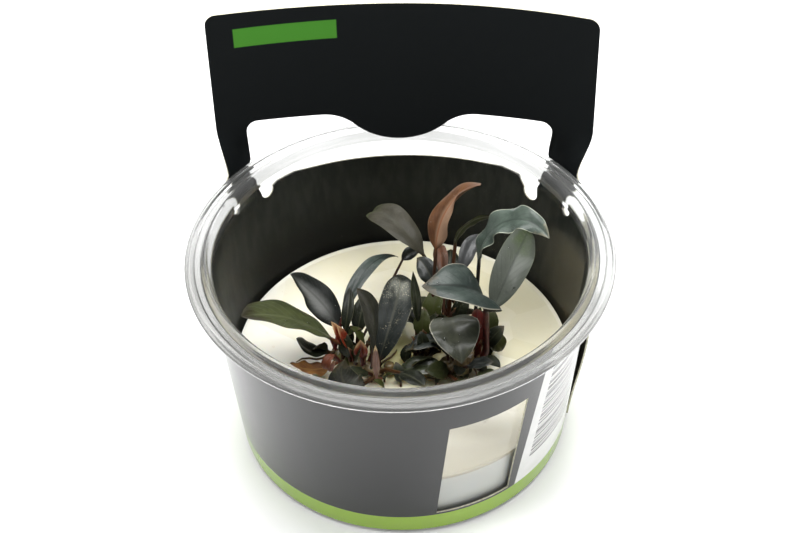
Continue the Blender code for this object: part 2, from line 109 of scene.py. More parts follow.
# corners of the patch of gel that each plant's lowest leaves cover
LOW_GROWTH = {
    "left": [(-15.0, -5.5), (-9.0, -11.0), (-4.0, -13.5), (1.0, -13.0), (0.0, -8.5), (-6.0, -6.0)],
    "middle": [(-1.0, -9.0), (3.5, -9.0), (10.0, 0.5), (10.0, 6.0), (5.0, 2.0), (0.5, -4.0)],
    "right": [(4.0, -12.5), (10.0, -13.0), (16.0, -11.5), (21.0, -6.5), (22.0, -1.5), (13.0, -6.0)],
}

LOW_GROWTH_DEPTH = 0.2

# the photograph's camera, from a fit to the rim, the header and the sleeve
CAMERA_DISTANCE, CAMERA_TARGET = 350.0, (-0.062, 0.0, 47.914)
CAMERA_RISE, CAMERA_ROLL = math.radians(42.761), math.radians(-1.5)
SENSOR_WIDTH, PHOTO_WIDTH, FOCAL_PIXELS = 36.0, 800.0, 1490.47


def smooth(t):
    t = min(max(t, 0.0), 1.0)
    return t * t * (3.0 - 2.0 * t)


def cup_radius(z):
    return CUP_BASE_RADIUS + (CUP_TOP_RADIUS - CUP_BASE_RADIUS) * z / CUP_HEIGHT


# shader maths
class Shade:
    """A value, colour or vector inside a material. Arithmetic on it adds Math nodes."""

    def __init__(self, tree, socket=None):
        self.tree, self.socket = tree, socket

    def make(self, kind, values=None, output=0, **settings):
        """Add any node: its settings first, then its sockets' values or links. Returns one output."""
        node = self.tree.nodes.new(kind)
        for key, value in settings.items():
            setattr(node, key, value)
        for key, value in (values or {}).items():
            socket = node.inputs[key] if isinstance(key, int) else next(
                s for s in node.inputs if s.identifier == key)
            if isinstance(value, Shade):
                self.tree.links.new(value.socket, socket)
            elif socket.type == "RGBA" and len(value) == 3:
                socket.default_value = (*value, 1.0)
            else:
                socket.default_value = value
        return Shade(self.tree, node.outputs[output])

    def maths(self, operation, *operands):
        return self.make("ShaderNodeMath", dict(enumerate(operands)), operation=operation)

    def __add__(self, other):
        return self.maths("ADD", self, other)

    def __radd__(self, other):
        return self.maths("ADD", other, self)

    def __sub__(self, other):
        return self.maths("SUBTRACT", self, other)

    def __rsub__(self, other):
        return self.maths("SUBTRACT", other, self)

    def __mul__(self, other):
        return self.maths("MULTIPLY", self, other)

    def __rmul__(self, other):
        return self.maths("MULTIPLY", other, self)

    def __abs__(self):
        return self.maths("ABSOLUTE", self)

    def step(self, low, high):
        """0 below low and 1 above high, smooth between; low may be the larger."""
        values = {0: self, 1: low, 2: high, 3: 0.0, 4: 1.0}
        return self.make("ShaderNodeMapRange", values, interpolation_type="SMOOTHSTEP")

    def mix(self, a, b):
        """Colour a where this value is 0 and b where it is 1."""
        values = {"Factor_Float": self, "A_Color": a, "B_Color": b}
        return self.make("ShaderNodeMix", values, output=2, data_type="RGBA")

    def noise(self, scale, detail=3.0, roughness=0.5, vector=None):
        values = {"Vector": vector or self.place(), "Scale": scale, "Detail": detail, "Roughness": roughness}
        return self.make("ShaderNodeTexNoise", values)

    def cells(self, scale, vector=None, output=0):
        """Voronoi cells: output 0 is the distance from a cell's middle, 1 its own colour."""
        values = {"Vector": vector or self.place(), "Scale": scale}
        return self.make("ShaderNodeTexVoronoi", values, output=output)

    def vector(self, operation, other):
        return self.make("ShaderNodeVectorMath", {0: self, 1: other}, operation=operation)

    def wander(self, scale, reach):
        """A small random offset, for bending a pattern's lines."""
        values = {"Vector": self.place(), "Scale": scale, "Detail": 2.0}
        drift = self.make("ShaderNodeTexNoise", values, output=1)
        return drift.vector("SUBTRACT", (0.5, 0.5, 0.5)).vector("MULTIPLY", (reach, reach, reach))

    def place(self):
        return self.make("ShaderNodeTexCoord", output=3)

    def stretched(self, x, y, z):
        """Object place scaled differently along each axis."""
        return self.make("ShaderNodeMapping", {"Vector": self.place(), "Scale": (x, y, z)})

    def attribute(self, name):
        return self.make("ShaderNodeAttribute", attribute_name=name, output=2)

    def parts(self, vector):
        return tuple(self.make("ShaderNodeSeparateXYZ", {0: vector}, output=i) for i in (0, 1, 2))

    def uv(self, name):
        """The two coordinates of a UV map."""
        return self.parts(self.make("ShaderNodeUVMap", uv_map=name))[:2]

    def bump(self, height, strength, distance):
        return self.make("ShaderNodeBump", {"Height": height, "Strength": strength, "Distance": distance})


PRINCIPLED = "Principled BSDF"


def finish(name, **sockets):
    """A Principled material with its plain values set. Returns it and its first Shade."""
    material = bpy.data.materials.new(name)
    material.use_nodes = True
    shader = material.node_tree.nodes[PRINCIPLED]
    for key, value in sockets.items():
        socket = shader.inputs[key.replace("_", " ").title().replace("Ior", "IOR")]
        socket.default_value = (*value, 1.0) if socket.type == "RGBA" else value
    return material, Shade(material.node_tree)


def paint(shade, **links):
    """Link what changes over the surface to the sockets of the material's shader."""
    shader = shade.tree.nodes[PRINCIPLED]
    for key, value in links.items():
        shade.tree.links.new(value.socket, shader.inputs[key.replace("_", " ").title()])


# pieces
def in_scene(name, data):
    obj = bpy.data.objects.new(name, data)
    bpy.context.scene.collection.objects.link(obj)
    return obj


def mesh_piece(name, points, faces, materials, uv=None, slots=None, sharp=None):
    """A mesh object from points in millimetres, with UV corners in face order."""
    mesh = bpy.data.meshes.new(name)
    mesh.from_pydata([tuple(p) for p in np.asarray(points) * MM], [], faces)
    if uv is not None:
        layer = mesh.uv_layers.new(name="pattern")
        layer.data.foreach_set("uv", np.asarray(uv, np.float32).ravel())
    for material in materials:
        mesh.materials.append(material)
    if slots is not None:
        mesh.polygons.foreach_set("material_index", slots)
    mesh.shade_smooth()
    if sharp:
        mesh.set_sharp_from_angle(angle=math.radians(sharp))
    mesh.update()
    return in_scene(name, mesh)


def place_piece(obj, slot, *nodes):
    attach(obj, "root")
    if nodes:
        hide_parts(*nodes)
    return obj


def merged(name, first, *others):
    """Several pieces of one material made into the first, which takes the name given."""
    together = bmesh.new()
    for obj in (first, *others):
        together.from_mesh(obj.data)
    together.to_mesh(first.data)
    together.free()
    for obj in others:
        bpy.data.objects.remove(obj)
    first.name = name
    return first


# scattering; spacing is in metres, density to the square metre, and the rest are shares
SOWN_SIZES = ("Spacing", "Density", "Facing", "Upright", "Smallest")


def scatter_tree():
    """Small shapes set on a surface, with a chosen spacing, spin and size."""
    tree = bpy.data.node_groups.new("scattered_shapes", "GeometryNodeTree")
    kinds = {"Surface": "Geometry", "Shape": "Object", "Finish": "Material", "Seed": "Int"}
    for name in ("Surface", "Shape", "Finish", *SOWN_SIZES, "Largest", "Seed"):
        kind = kinds.get(name, "Float")
        tree.interface.new_socket(name=name, in_out="INPUT", socket_type="NodeSocket" + kind)
    tree.interface.new_socket(name="Pieces", in_out="OUTPUT", socket_type="NodeSocketGeometry")
    entry = tree.nodes.new("NodeGroupInput")
    given = {socket.name: Shade(tree, socket) for socket in entry.outputs if socket.name}
    grow = Shade(tree)
    upward = grow.parts(grow.make("GeometryNodeInputNormal"))[2]
    chosen = grow.make("FunctionNodeCompare", {0: upward, 1: given["Facing"]}, data_type="FLOAT",
                       operation="GREATER_THAN")
    points = grow.make("GeometryNodeDistributePointsOnFaces", {
        "Mesh": given["Surface"], "Selection": chosen, "Distance Min": given["Spacing"],
        "Density Max": given["Density"], "Seed": given["Seed"]}, distribute_method="POISSON")
    outward = Shade(tree, points.socket.node.outputs[1])
    way = grow.make("ShaderNodeMix", {
        "Factor_Float": given["Upright"], "A_Vector": outward, "B_Vector": (0.0, 0.0, 1.0)},
        output=1, data_type="VECTOR")
    turn = grow.make("FunctionNodeAlignRotationToVector", {"Vector": way}, axis="Z")
    spin = grow.make("FunctionNodeRandomValue", {
        "Min": (0.0, 0.0, 0.0), "Max": (0.0, 0.0, math.tau), "Seed": given["Seed"]},
        data_type="FLOAT_VECTOR")
    turn = grow.make("FunctionNodeRotateRotation", {"Rotation": turn, "Rotate By": spin},
                     rotation_space="LOCAL")
    size = grow.make("FunctionNodeRandomValue", {
        "Min_001": given["Smallest"], "Max_001": given["Largest"], "Seed": given["Seed"] + 1.0},
        output=1, data_type="FLOAT")
    shape = grow.make("GeometryNodeObjectInfo", {"Object": given["Shape"]}, output=4)
    put = grow.make("GeometryNodeInstanceOnPoints", {
        "Points": points, "Instance": shape, "Rotation": turn, "Scale": size})
    tone = grow.make("FunctionNodeRandomValue", {"Seed": given["Seed"] + 2.0}, output=1,
                     data_type="FLOAT")
    put = grow.make("GeometryNodeStoreNamedAttribute", {"Geometry": put, "Name": "tone", "Value": tone},
                    data_type="FLOAT", domain="INSTANCE")
    real = grow.make("GeometryNodeRealizeInstances", {"Geometry": put})
    done = grow.make("GeometryNodeSetMaterial", {"Geometry": real, "Material": given["Finish"]})
    tree.links.new(done.socket, tree.nodes.new("NodeGroupOutput").inputs[0])
    return tree


def scattered(name, tree, surface, **sizes):
    """The tree run over one surface and kept as a plain mesh; sizes are the tree's inputs."""
    holder = in_scene(name, surface.data)
    modifier = holder.modifiers.new("scatter", "NODES")
    modifier.node_group = tree
    for item in tree.interface.items_tree:
        if item.in_out == "INPUT" and item.name in sizes:
            modifier[item.identifier] = sizes[item.name]
    graph = bpy.context.evaluated_depsgraph_get()
    mesh = bpy.data.meshes.new_from_object(
        holder.evaluated_get(graph), preserve_all_data_layers=True, depsgraph=graph)
    bpy.data.objects.remove(holder)
    mesh.name = name
    return in_scene(name, mesh)


# turned and lofted shapes
def rounded(corners, steps=5):
    """A profile line with its corners rounded: corners are (radius, height, fillet)."""
    line = []
    for i, (x, z, fillet) in enumerate(corners):
        here = np.array([x, z])
        if fillet <= 0.0 or i in (0, len(corners) - 1):
            line.append(here)
            continue
        before = np.array(corners[i - 1][:2]) - here
        after = np.array(corners[i + 1][:2]) - here
        reach = min(fillet, 0.45 * np.linalg.norm(before), 0.45 * np.linalg.norm(after))
        start = here + before / np.linalg.norm(before) * reach
        end = here + after / np.linalg.norm(after) * reach
        for k in range(steps + 1):
            t = k / steps
            line.append(start * (1 - t) ** 2 + here * 2 * t * (1 - t) + end * t * t)
    return line


def turned(name, profile, sides, materials, slot_of=None):
    """A closed turned piece: the profile starts and ends on the axis, inside first.

    slot_of gives a profile step's material slot from its middle radius and height.
    """
    points, rows = [], []
    angles = np.arange(sides) * math.tau / sides
    for x, z in profile:
        if x < 1e-6:
            rows.append([len(points)] * sides)
            points.append((0.0, 0.0, z))
        else:
            rows.append(list(range(len(points), len(points) + sides)))
            points.extend((x * math.cos(a), x * math.sin(a), z) for a in angles)
    faces, slots = [], []
    for k, (upper, lower) in enumerate(zip(rows, rows[1:])):
        middle = (np.array(profile[k]) + np.array(profile[k + 1])) / 2
        for i in range(sides):
            j = (i + 1) % sides
            ring = [upper[i], lower[i], lower[j], upper[j]]
            faces.append([v for m, v in enumerate(ring) if v != ring[m - 1]])
            slots.append(slot_of(*middle) if slot_of else 0)
    return mesh_piece(name, points, faces, materials, slots=slots, sharp=50)


def lofted(name, rings, materials, charts=None):
    """A closed loft through rings of points, capped at both ends.

    charts, if given, are two sets of UVs: one for the rings' first half and one for the other half.
    """
    count, around = len(rings), len(rings[0])
    points = np.concatenate(rings)
    faces, uv = [], []
    for i in range(count - 1):
        for j in range(around):
            k = (j + 1) % around
            faces.append([i * around + j, i * around + k, (i + 1) * around + k, (i + 1) * around + j])
            if charts:
                chart = charts[j >= around // 2]
                uv += [chart[i][j], chart[i][k], chart[i + 1][k], chart[i + 1][j]]
    first = list(range(around))[::-1]
    last = [(count - 1) * around + j for j in range(around)]
    faces += [first, last]
    if charts:
        uv += charts[0][0][::-1] + charts[0][count - 1]
    return mesh_piece(name, points, faces, materials, uv=uv or None, sharp=70)


# cup
def clear_plastic():
    """The cup's wall and base: clear, with faint scuffs, and hardly seen in front of the card."""
    material, shade = finish("clear_cup_plastic", base_color=(0.97, 0.98, 0.98),
                             transmission_weight=1.0, ior=1.3)
    scuffs = shade.noise(160.0, 3.0, vector=shade.stretched(1.0, 1.0, 0.15)).step(0.45, 0.75)
    x, y, z = shade.parts(shade.place())
    above_card = z.step(FLARE_START * MM, 0.0495)
    over_window = y.step(-0.020, -0.030) * x.step(-0.008, 0.004)
    bare = shade.maths("MAXIMUM", above_card, over_window)
    paint(shade, roughness=0.02 + 0.03 * scuffs, alpha=0.004 + 0.12 * bare)
    return material


def hazy_plastic():
    """The thicker rim: the same plastic, hazy, with painted shade towards the front for the dark card seen
    through it, and painted highlights on the right and along the front lip.
    """
    material, shade = finish("hazy_rim_plastic", transmission_weight=0.90, ior=1.42)
    flow = shade.noise(35.0, 2.0).step(0.3, 0.7)
    x, y, z = shade.parts(shade.place())
    # painted shade: the front of the rim darkened for the dark card seen through it, and made rougher
    front = y.step(0.02, -0.02)
    # painted highlights: the front lip and the right side of the rim lightened
    lip_painted_highlight = z.step(0.0531, 0.0526) * y.step(-0.012, -0.032)
    right_painted_highlight = x.step(0.030, 0.046) * y.step(-0.025, -0.010)
    colour = flow.mix((0.44, 0.445, 0.435), (0.55, 0.555, 0.55))
    colour = (front * (0.7 - 0.35 * x.step(0.0, 0.025))).mix(colour, (0.235, 0.235, 0.222))
    colour = (right_painted_highlight * 0.8).mix(colour, (0.72, 0.73, 0.72))
    colour = lip_painted_highlight.mix(colour, (0.90, 0.90, 0.89))
    paint(shade, base_color=colour, roughness=0.09 + 0.05 * flow + 0.13 * front)
    return material


def milky_lit_foot_plastic():
    """The rounded foot below the card: hazy plastic, made whiter by painted light from the bright floor seen
    through it.
    """
    material, shade = finish("milky_foot_plastic_painted_light", transmission_weight=0.35, ior=1.40)
    flow = shade.noise(60.0, 2.0).step(0.3, 0.7)
    colour = flow.mix((0.80, 0.82, 0.82), (0.88, 0.90, 0.90))
    paint(shade, base_color=colour, roughness=0.25 + 0.10 * flow)
    return material


def cup_plastic(radius, height):
    """Which material a step of the profile takes: 0 clear, 1 hazy on the rim, 2 milky at the foot, whitened
    by painted light.
    """
    if height > RIM_START:
        return 1
    return 2 if height < FOOT_HEIGHT and radius > FOOT_RADIUS else 0


def make_cup(materials):
    inside_wall = [(cup_radius(z) - CUP_WALL, z, fillet) for z, fillet in ((2.4, 1.2), (50.2, 0.2))]
    step = [(cup_radius(50.5) - CUP_WALL - 0.25, 50.6, 0.15), (cup_radius(52.6) - CUP_WALL - 0.2, 52.7, 0.5)]
    bead = [(44.0, 53.7, 0.3), (44.5, 54.25, 0.3), (45.3, 54.28, 0.3), (45.8, 53.9, 0.2)]
    grooves = [(46.1, 53.45, 0.15), (46.3, 53.15, 0.1), (46.5, 53.4, 0.1), (47.6, 53.35, 0.2),
               (47.8, 53.0, 0.08), (48.0, 53.35, 0.08)]
    flange = [(48.4, 53.75, 0.3), (49.1, 53.8, 0.3), (49.98, 53.3, 0.35), (49.95, 52.5, 0.3),
              (49.3, 52.35, 0.2), (48.9, 52.7, 0.15), (46.2, 52.6, 0.5)]
    outside_wall = [(cup_radius(51.4) + 0.05, 51.4, 0.6), (cup_radius(1.8), 1.8, 1.0)]
    floor = [(0.0, CUP_FLOOR, 0), (38.4, CUP_FLOOR, 1.2)]
    foot = [(39.7, 0.25, 1.0), (38.2, 0.0, 0.6), (0.0, 0.0, 0)]
    corners = floor + inside_wall + step + bead + grooves + flange + outside_wall + foot
    cup = turned("cup_moulding", rounded(corners), CUP_SIDES, materials, cup_plastic)
    place_piece(cup, "clear_cup", "cup")


# set gel
def gel_finish():
    """Set culture gel: cream and cloudy, cut into broad facets that carry patches of painted light and
    painted shade, with painted shade at the far right, by the front window and down its side.
    """
    material, shade = finish("cream_culture_gel", ior=1.34, coat_weight=0.5, coat_roughness=0.08,
                             subsurface_weight=0.3, subsurface_radius=(0.005, 0.004, 0.0025),
                             subsurface_scale=1.0)
    x, y, z = shade.parts(shade.place())
    bent = shade.place().vector("ADD", shade.wander(70.0, 0.004))
    # painted light: each facet cell lightens or darkens the gel as a patch of painted light and shade
    facets_and_light_patches = shade.parts(shade.cells(72.0, bent, output=1))[0]
    clouds = shade.noise(30.0, 3.0).step(0.35, 0.7)
    body = (0.25 * clouds + 0.75 * facets_and_light_patches).mix((0.88, 0.84, 0.69), (1.0, 0.98, 0.90))
    # painted shade: the gel greyer and darker towards the right and back
    far_right_painted_light = (x * 0.7 + y * 0.7).step(-0.014, 0.016)
    body = (far_right_painted_light * (1.0 - 0.3 * facets_and_light_patches)).mix(body, (0.64, 0.60, 0.42))
    # painted shade on the gel behind the front window
    window_painted_shade = y.step(-0.017, -0.027) * x.step(-0.008, 0.002)
    body = window_painted_shade.mix(body, (0.38, 0.36, 0.29))
    crown = shade.maths("SQRT", x * x + y * y).step(0.017, 0.004)
    body = (crown * 0.8).mix(body, (0.80, 0.73, 0.30))
    flecks = shade.noise(420.0, 4.0).step(0.66, 0.76)
    body = (flecks * 0.3).mix(body, (0.62, 0.52, 0.32))
    surface = GEL_SURFACE * MM
    # painted shade: the gel's side, seen through the front window, greyed
    side_painted_shade = z.step(surface - 0.0002, surface - 0.0006)
    body = side_painted_shade.mix(body, (0.50, 0.51, 0.475))
    height = shade.noise(55.0, 3.0) + 0.12 * shade.noise(600.0, 2.0) + 0.5 * facets_and_light_patches
    paint(shade, base_color=body, roughness=0.32 + 0.15 * clouds, normal=shade.bump(height, 0.3, 0.0012))
    return material


def make_gel(material):
    """The disc of gel, which climbs the wall a little at its edge."""
    wall, floor = CUP_WALL + GEL_CLEARANCE, CUP_FLOOR + GAP
    corners = [(r, GEL_SURFACE, 0) for r in (0.0, 8.0, 16.0, 24.0, 31.0)]
    for inward, climb, fillet in ((3.0, 0.0, 1.0), (0.8, 0.25, 0.8), (0.02, 0.68, 0.1)):
        corners.append((cup_radius(GEL_SURFACE) - wall - inward, GEL_SURFACE + climb, fillet))
    corners += [(cup_radius(3.0) - wall, 3.0, 0.8), (37.9, floor, 0.6), (0.0, floor, 0)]
    gel = turned("set_gel", rounded(corners), 128, [material])
    place_piece(gel, "culture_gel", "culture_gel")


# card sleeve and header
def pattern_x(degrees):
    return math.radians(degrees) * CARD_PATTERN_RADIUS


def arc(centre, radius, start, end, steps):
    angles = np.radians(np.linspace(start, end, steps + 1))
    return [(centre[0] + radius * math.cos(a), centre[1] + radius * math.sin(a)) for a in angles]


def card_outline():
    """The flat card's edge, anticlockwise: sleeve, right notch, header, left notch, sleeve."""
    outer, inner = pattern_x(SLEEVE_END_OUTER), pattern_x(SLEEVE_END_INNER)
    corner, high = HEADER_CORNER, HEADER_TOP - HEADER_CORNER
    points = [(inner, CARD_BOTTOM), (outer, CARD_BOTTOM), (outer, SLEEVE_TOP)]
    points += [(53.7, SLEEVE_TOP), (53.4, 48.4)]
    points += arc(ARM_NOTCH_RIGHT, ARM_NOTCH_RADIUS, -20, -160, 10)
    points += [(49.2, 49.8), (HEADER_RIGHT, HEADER_FOOT)]
    points += arc((HEADER_RIGHT - corner, high), corner, 0, 90, 12)
    points += arc((HEADER_LEFT + corner, high), corner, 90, 180, 12)
    points += [(HEADER_LEFT, HEADER_FOOT), (-46.2, 50.2)]
    points += arc(ARM_NOTCH_LEFT, ARM_NOTCH_RADIUS, -20, -160, 10)
    return points + [(-50.9, SLEEVE_TOP), (inner, SLEEVE_TOP)]


def hand_window():
    """The opening between header and cup, with the tongue that hangs into it from above."""
    corner, fillet = HAND_WINDOW_CORNER, HAND_WINDOW_FILLET
    meet = math.degrees(math.asin(TONGUE_REACH / (TONGUE_RADIUS + fillet)))
    tongue = (TONGUE_CENTRE, HAND_WINDOW_TOP - TONGUE_DEPTH + TONGUE_RADIUS)
    high = HAND_WINDOW_TOP - fillet
    points = [(HAND_WINDOW_LEFT, HEADER_FOOT)]
    points += arc((HAND_WINDOW_LEFT + corner, HAND_WINDOW_TOP - corner), corner, 180, 90, 10)
    points += arc((TONGUE_CENTRE - TONGUE_REACH, high), fillet, 90, 90 - meet, 12)
    points += arc(tongue, TONGUE_RADIUS, -90 - meet, -90 + meet, 24)[1:]
    points += arc((TONGUE_CENTRE + TONGUE_REACH, high), fillet, 90 + meet, 90, 12)[1:]
    points += arc((HAND_WINDOW_RIGHT - corner, HAND_WINDOW_TOP - corner), corner, 90, 0, 10)
    points += [(HAND_WINDOW_RIGHT, HEADER_FOOT), (39.6, 49.2)] + arc((38.0, 45.1), 2.3, 10, -190, 16)
    for x in np.linspace(BACK_EDGE_END, -BACK_EDGE_END, 25):
        points.append((x, BACK_EDGE_LOW + BACK_EDGE_RISE * min((x / BACK_EDGE_REACH) ** 2, 1.0)))
    points += arc((-37.2, 47.2), 2.0, 10, -190, 16)
    return points + [(-38.5, 50.0)]


def front_window():
    return [(pattern_x(-180.0 - angle), height) for angle, height in FRONT_WINDOW]


def inside(points, loop):
    """Which points lie inside a closed outline."""
    x, y = points[:, 0], points[:, 1]
    hit = np.zeros(len(points), bool)
    for (x0, y0), (x1, y1) in zip(loop, loop[1:] + loop[:1]):
        if y0 != y1:
            across = (y0 > y) != (y1 > y)
            hit ^= across & (x < (x1 - x0) * (y - y0) / (y1 - y0) + x0)
    return hit


def lap_offset(degrees, height):
    """How far the sleeve's outer end lies off the cup, over its inner end."""
    lapped = smooth((degrees - LAP_START) / (LAP_FULL - LAP_START))
    loose = smooth((degrees - LAP_FULL) / (SLEEVE_END_OUTER - LAP_FULL))
    up = min(max((height - CARD_BOTTOM) / (SLEEVE_TOP - CARD_BOTTOM), 0.0), 1.0)
    return (CARD_THICKNESS + GAP) * lapped + LAP_LIFT * loose * math.sin(math.pi * up) ** 2


def bend_card(x, height, lift):
    """A point of the flat card on the cup: cone below the rim, flared arms, leaning header."""
    angle = x / CARD_PATTERN_RADIUS
    radius = cup_radius(min(height, FLARE_START)) + GAP
    if height > FLARE_START and abs(x) > ARM_END:
        radius = cup_radius(height) + GAP
    elif height > FLARE_START:
        radius += (ARM_RADIUS - radius) * smooth((height - FLARE_START) / (FLARE_END - FLARE_START))
    radius += lap_offset(math.degrees(angle), height) + lift
    foot = (radius * math.sin(angle), radius * math.cos(angle))
    rise = height - BLEND_START
    bend = HEADER_BEND_LEFT if x < 0.0 else HEADER_BEND_RIGHT
    head = (x, HEADER_DEPTH + math.tan(HEADER_LEAN) * rise - x * x / (2.0 * bend) + lift)
    risen = smooth(rise / BLEND_HEIGHT)
    outward = smooth((abs(x) - HEADER_FLAT) / HEADER_TURN)
    share = 1.0 - outward * (1.0 - risen) if rise > 0.0 else 0.0
    z = height - HEADER_DROP * x * risen
    return (foot[0] + (head[0] - foot[0]) * share, foot[1] + (head[1] - foot[1]) * share, z)


def on_card(points, loops):
    """Which points lie on the flat card: inside its outline and in neither opening."""
    outline, *openings = loops
    return inside(points, outline) & ~np.any([inside(points, loop) for loop in openings], axis=0)


def flat_card():
    """The flat card's points and its triangles, which all turn the same way."""
    loops = [card_outline(), hand_window(), front_window()]
    points, edges = [], []
    for loop in loops:
        dense = []
        for a, b in zip(loop, loop[1:] + loop[:1]):
            a, b = np.array(a), np.array(b)
            parts = max(1, int(np.linalg.norm(b - a) / CARD_EDGE_STEP))
            dense += [a + (b - a) * k / parts for k in range(parts)]
        start = len(points)
        points += dense
        edges += [(start + k, start + (k + 1) % len(dense)) for k in range(len(dense))]
    first, last = pattern_x(SLEEVE_END_INNER) + CARD_COLUMN_START, pattern_x(SLEEVE_END_OUTER)
    columns = np.arange(first, last, CARD_COLUMN_STEP)
    sleeve_rows, flare_rows, header_rows = (3.0, 46.0, 3.0), (47.0, 68.0, 1.0), (70.0, 95.0, 3.0)
    heights = np.concatenate([np.arange(*rows) for rows in (sleeve_rows, flare_rows, header_rows)])
    grid = np.array([(x, y) for x in columns for y in heights])
    grid = grid[on_card(grid, loops)]
    outline = np.array(points)
    clear = [np.min(np.sum((outline - g) ** 2, axis=1)) > CARD_POINT_GAP_SQUARED for g in grid]
    points += list(grid[np.array(clear)])
    flat, _, faces, *_ = delaunay_2d_cdt([Vector(p) for p in points], edges, [], 0, 1e-5)
    flat, faces = np.array([(p.x, p.y) for p in flat]), np.array(faces)
    faces = faces[on_card(flat[faces].mean(axis=1), loops)]
    a, b, c = (flat[faces[:, k]] for k in range(3))
    turn = (b[:, 0] - a[:, 0]) * (c[:, 1] - a[:, 1]) - (b[:, 1] - a[:, 1]) * (c[:, 0] - a[:, 0])
    faces[turn < 0] = faces[turn < 0][:, ::-1]
    return flat, faces


def make_card(materials):
    flat, faces = flat_card()
    n = len(flat)
    solid = [bend_card(x, y, 0.0) for x, y in flat] + [bend_card(x, y, CARD_THICKNESS) for x, y in flat]
    near = [list(f) for f in faces]
    away = [[v + n for v in f[::-1]] for f in near]
    directed = {(f[i], f[(i + 1) % 3]) for f in near for i in range(3)}
    rim = [(i, j) for i, j in directed if (j, i) not in directed]
    walls = [[j, i, i + n, j + n] for i, j in rim]
    everything = near + away + walls
    chart = np.concatenate([flat, flat]) / DECIMETRE
    uv = np.array([chart[v] for f in everything for v in f])
    slots = [0] * len(near) + [1] * len(away) + [2] * len(walls)
    card = mesh_piece("card_sleeve_and_header", solid, everything, materials, uv=uv, slots=slots, sharp=40)
    place_piece(card, "black_card", "carton")


BLACK_PRINT = (0.0035, 0.0042, 0.0048)
BAND_GREEN = (0.2575, 0.4185, 0.0321)
BADGE_GREEN = (0.065, 0.24, 0.03)

# the card's pattern, in decimetres
BADGE = (-0.375, -0.135, 0.8705, 0.9185)
BARS = (-1.955, -1.7, 0.14, 0.475)
BAND_TOP = 0.0668
PANEL_EDGE, PANEL_SLOPE, PANEL_MARGIN = -1.7130, 0.143, 0.033
EDGE_SOFTNESS = 0.0015


def box_mask(u, v, left, right, low, high, soft=EDGE_SOFTNESS):
    """1 inside a rectangle of the card's pattern, in decimetres."""
    across = u.step(left - soft, left + soft) * u.step(right + soft, right - soft)
    return across * v.step(low - soft, low + soft) * v.step(high + soft, high - soft)


def card_print_finish():
    """The sleeve's printed outer face: glossy black, a green foot band, a pale panel with plain bars."""
    material, shade = finish("black_card_print", ior=1.38, coat_weight=0.45, coat_roughness=0.06)
    u, v = shade.uv("pattern")
    dust = shade.noise(900.0, 2.0).step(0.62, 0.8)
    colour = (dust * 0.12).mix(BLACK_PRINT, (0.05, 0.05, 0.05))
    edge = u + (v - 0.065) * PANEL_SLOPE
    panel = edge.step(PANEL_EDGE, PANEL_EDGE - EDGE_SOFTNESS) * v.step(BAND_TOP + 0.0002, BAND_TOP + 0.0007)
    paper = shade.noise(300.0, 3.0).step(0.2, 0.8).mix((0.67, 0.68, 0.66), (0.74, 0.74, 0.72))
    colour = panel.mix(colour, paper)
    stripes = shade.make("ShaderNodeTexNoise", {"Scale": 1.0, "Detail": 0.0, "W": v * 170.0},
                         noise_dimensions="1D")
    start = PANEL_EDGE - PANEL_MARGIN
    bars = stripes.step(0.48, 0.52) * edge.step(start, start - EDGE_SOFTNESS)
    colour = (bars * box_mask(u, v, *BARS, soft=0.0008)).mix(colour, (0.06, 0.06, 0.06))
    colour = v.step(BAND_TOP + 0.0004, BAND_TOP - 0.0004).mix(colour, BAND_GREEN)
    paint(shade, base_color=colour, roughness=0.20 + 0.08 * shade.noise(120.0, 3.0),
          normal=shade.bump(shade.noise(700.0, 3.0), 0.06, 0.0002))
    return material


def card_face_finish():
    """The side of the card that faces the cup: printed black on the header, dark board below, with painted
    shade low on the board and a painted reflection of the gel on its right.

    The coat stands for the sheen of the clear wall in front of the board.
    """
    material, shade = finish("black_card_face", ior=1.40, specular_ior_level=0.04, coat_ior=1.3,
                             coat_roughness=0.14)
    u, v = shade.uv("pattern")
    fibre = shade.noise(500.0, 4.0, vector=shade.stretched(1.0, 1.0, 0.3))
    board = fibre.step(0.3, 0.7).mix((0.021, 0.0225, 0.0195), (0.030, 0.032, 0.027))
    # painted shade on the lower board, behind the plants
    low_painted_shade = v.step(0.38, 0.24) * u.step(0.3, 0.1) * u.step(-0.62, -0.40)
    board = low_painted_shade.mix(board, (0.011, 0.0115, 0.010))
    # painted reflection of the gel: a warm, lighter patch low on the right of the board
    far_right_painted_light = u.step(0.40, 0.60) * v.step(0.43, 0.39)
    board = far_right_painted_light.mix(board, (0.046, 0.041, 0.028))
    head = v.step(0.475, 0.485)
    colour = head.mix(board, (0.009, 0.0105, 0.011))
    colour = box_mask(u, v - u * HEADER_DROP, *BADGE).mix(colour, BADGE_GREEN)
    sheen = 0.055 + 0.12 * u.step(-0.35, -0.62) + 0.5 * u.step(0.35, 0.62) * v.step(0.47, 0.40)
    paint(shade, base_color=colour, roughness=0.50 + 0.08 * shade.noise(150.0, 3.0),
          coat_weight=sheen * (1.0 - head), normal=shade.bump(shade.noise(700.0, 3.0), 0.05, 0.0002))
    return material


def card_edge_finish():
    material, shade = finish("card_cut_edge", ior=1.45)
    layers = shade.noise(1500.0, 2.0).step(0.3, 0.7)
    colour = layers.mix((0.42, 0.40, 0.30), (0.62, 0.60, 0.47))
    paint(shade, base_color=colour, roughness=0.75 + 0.1 * layers)
    return material


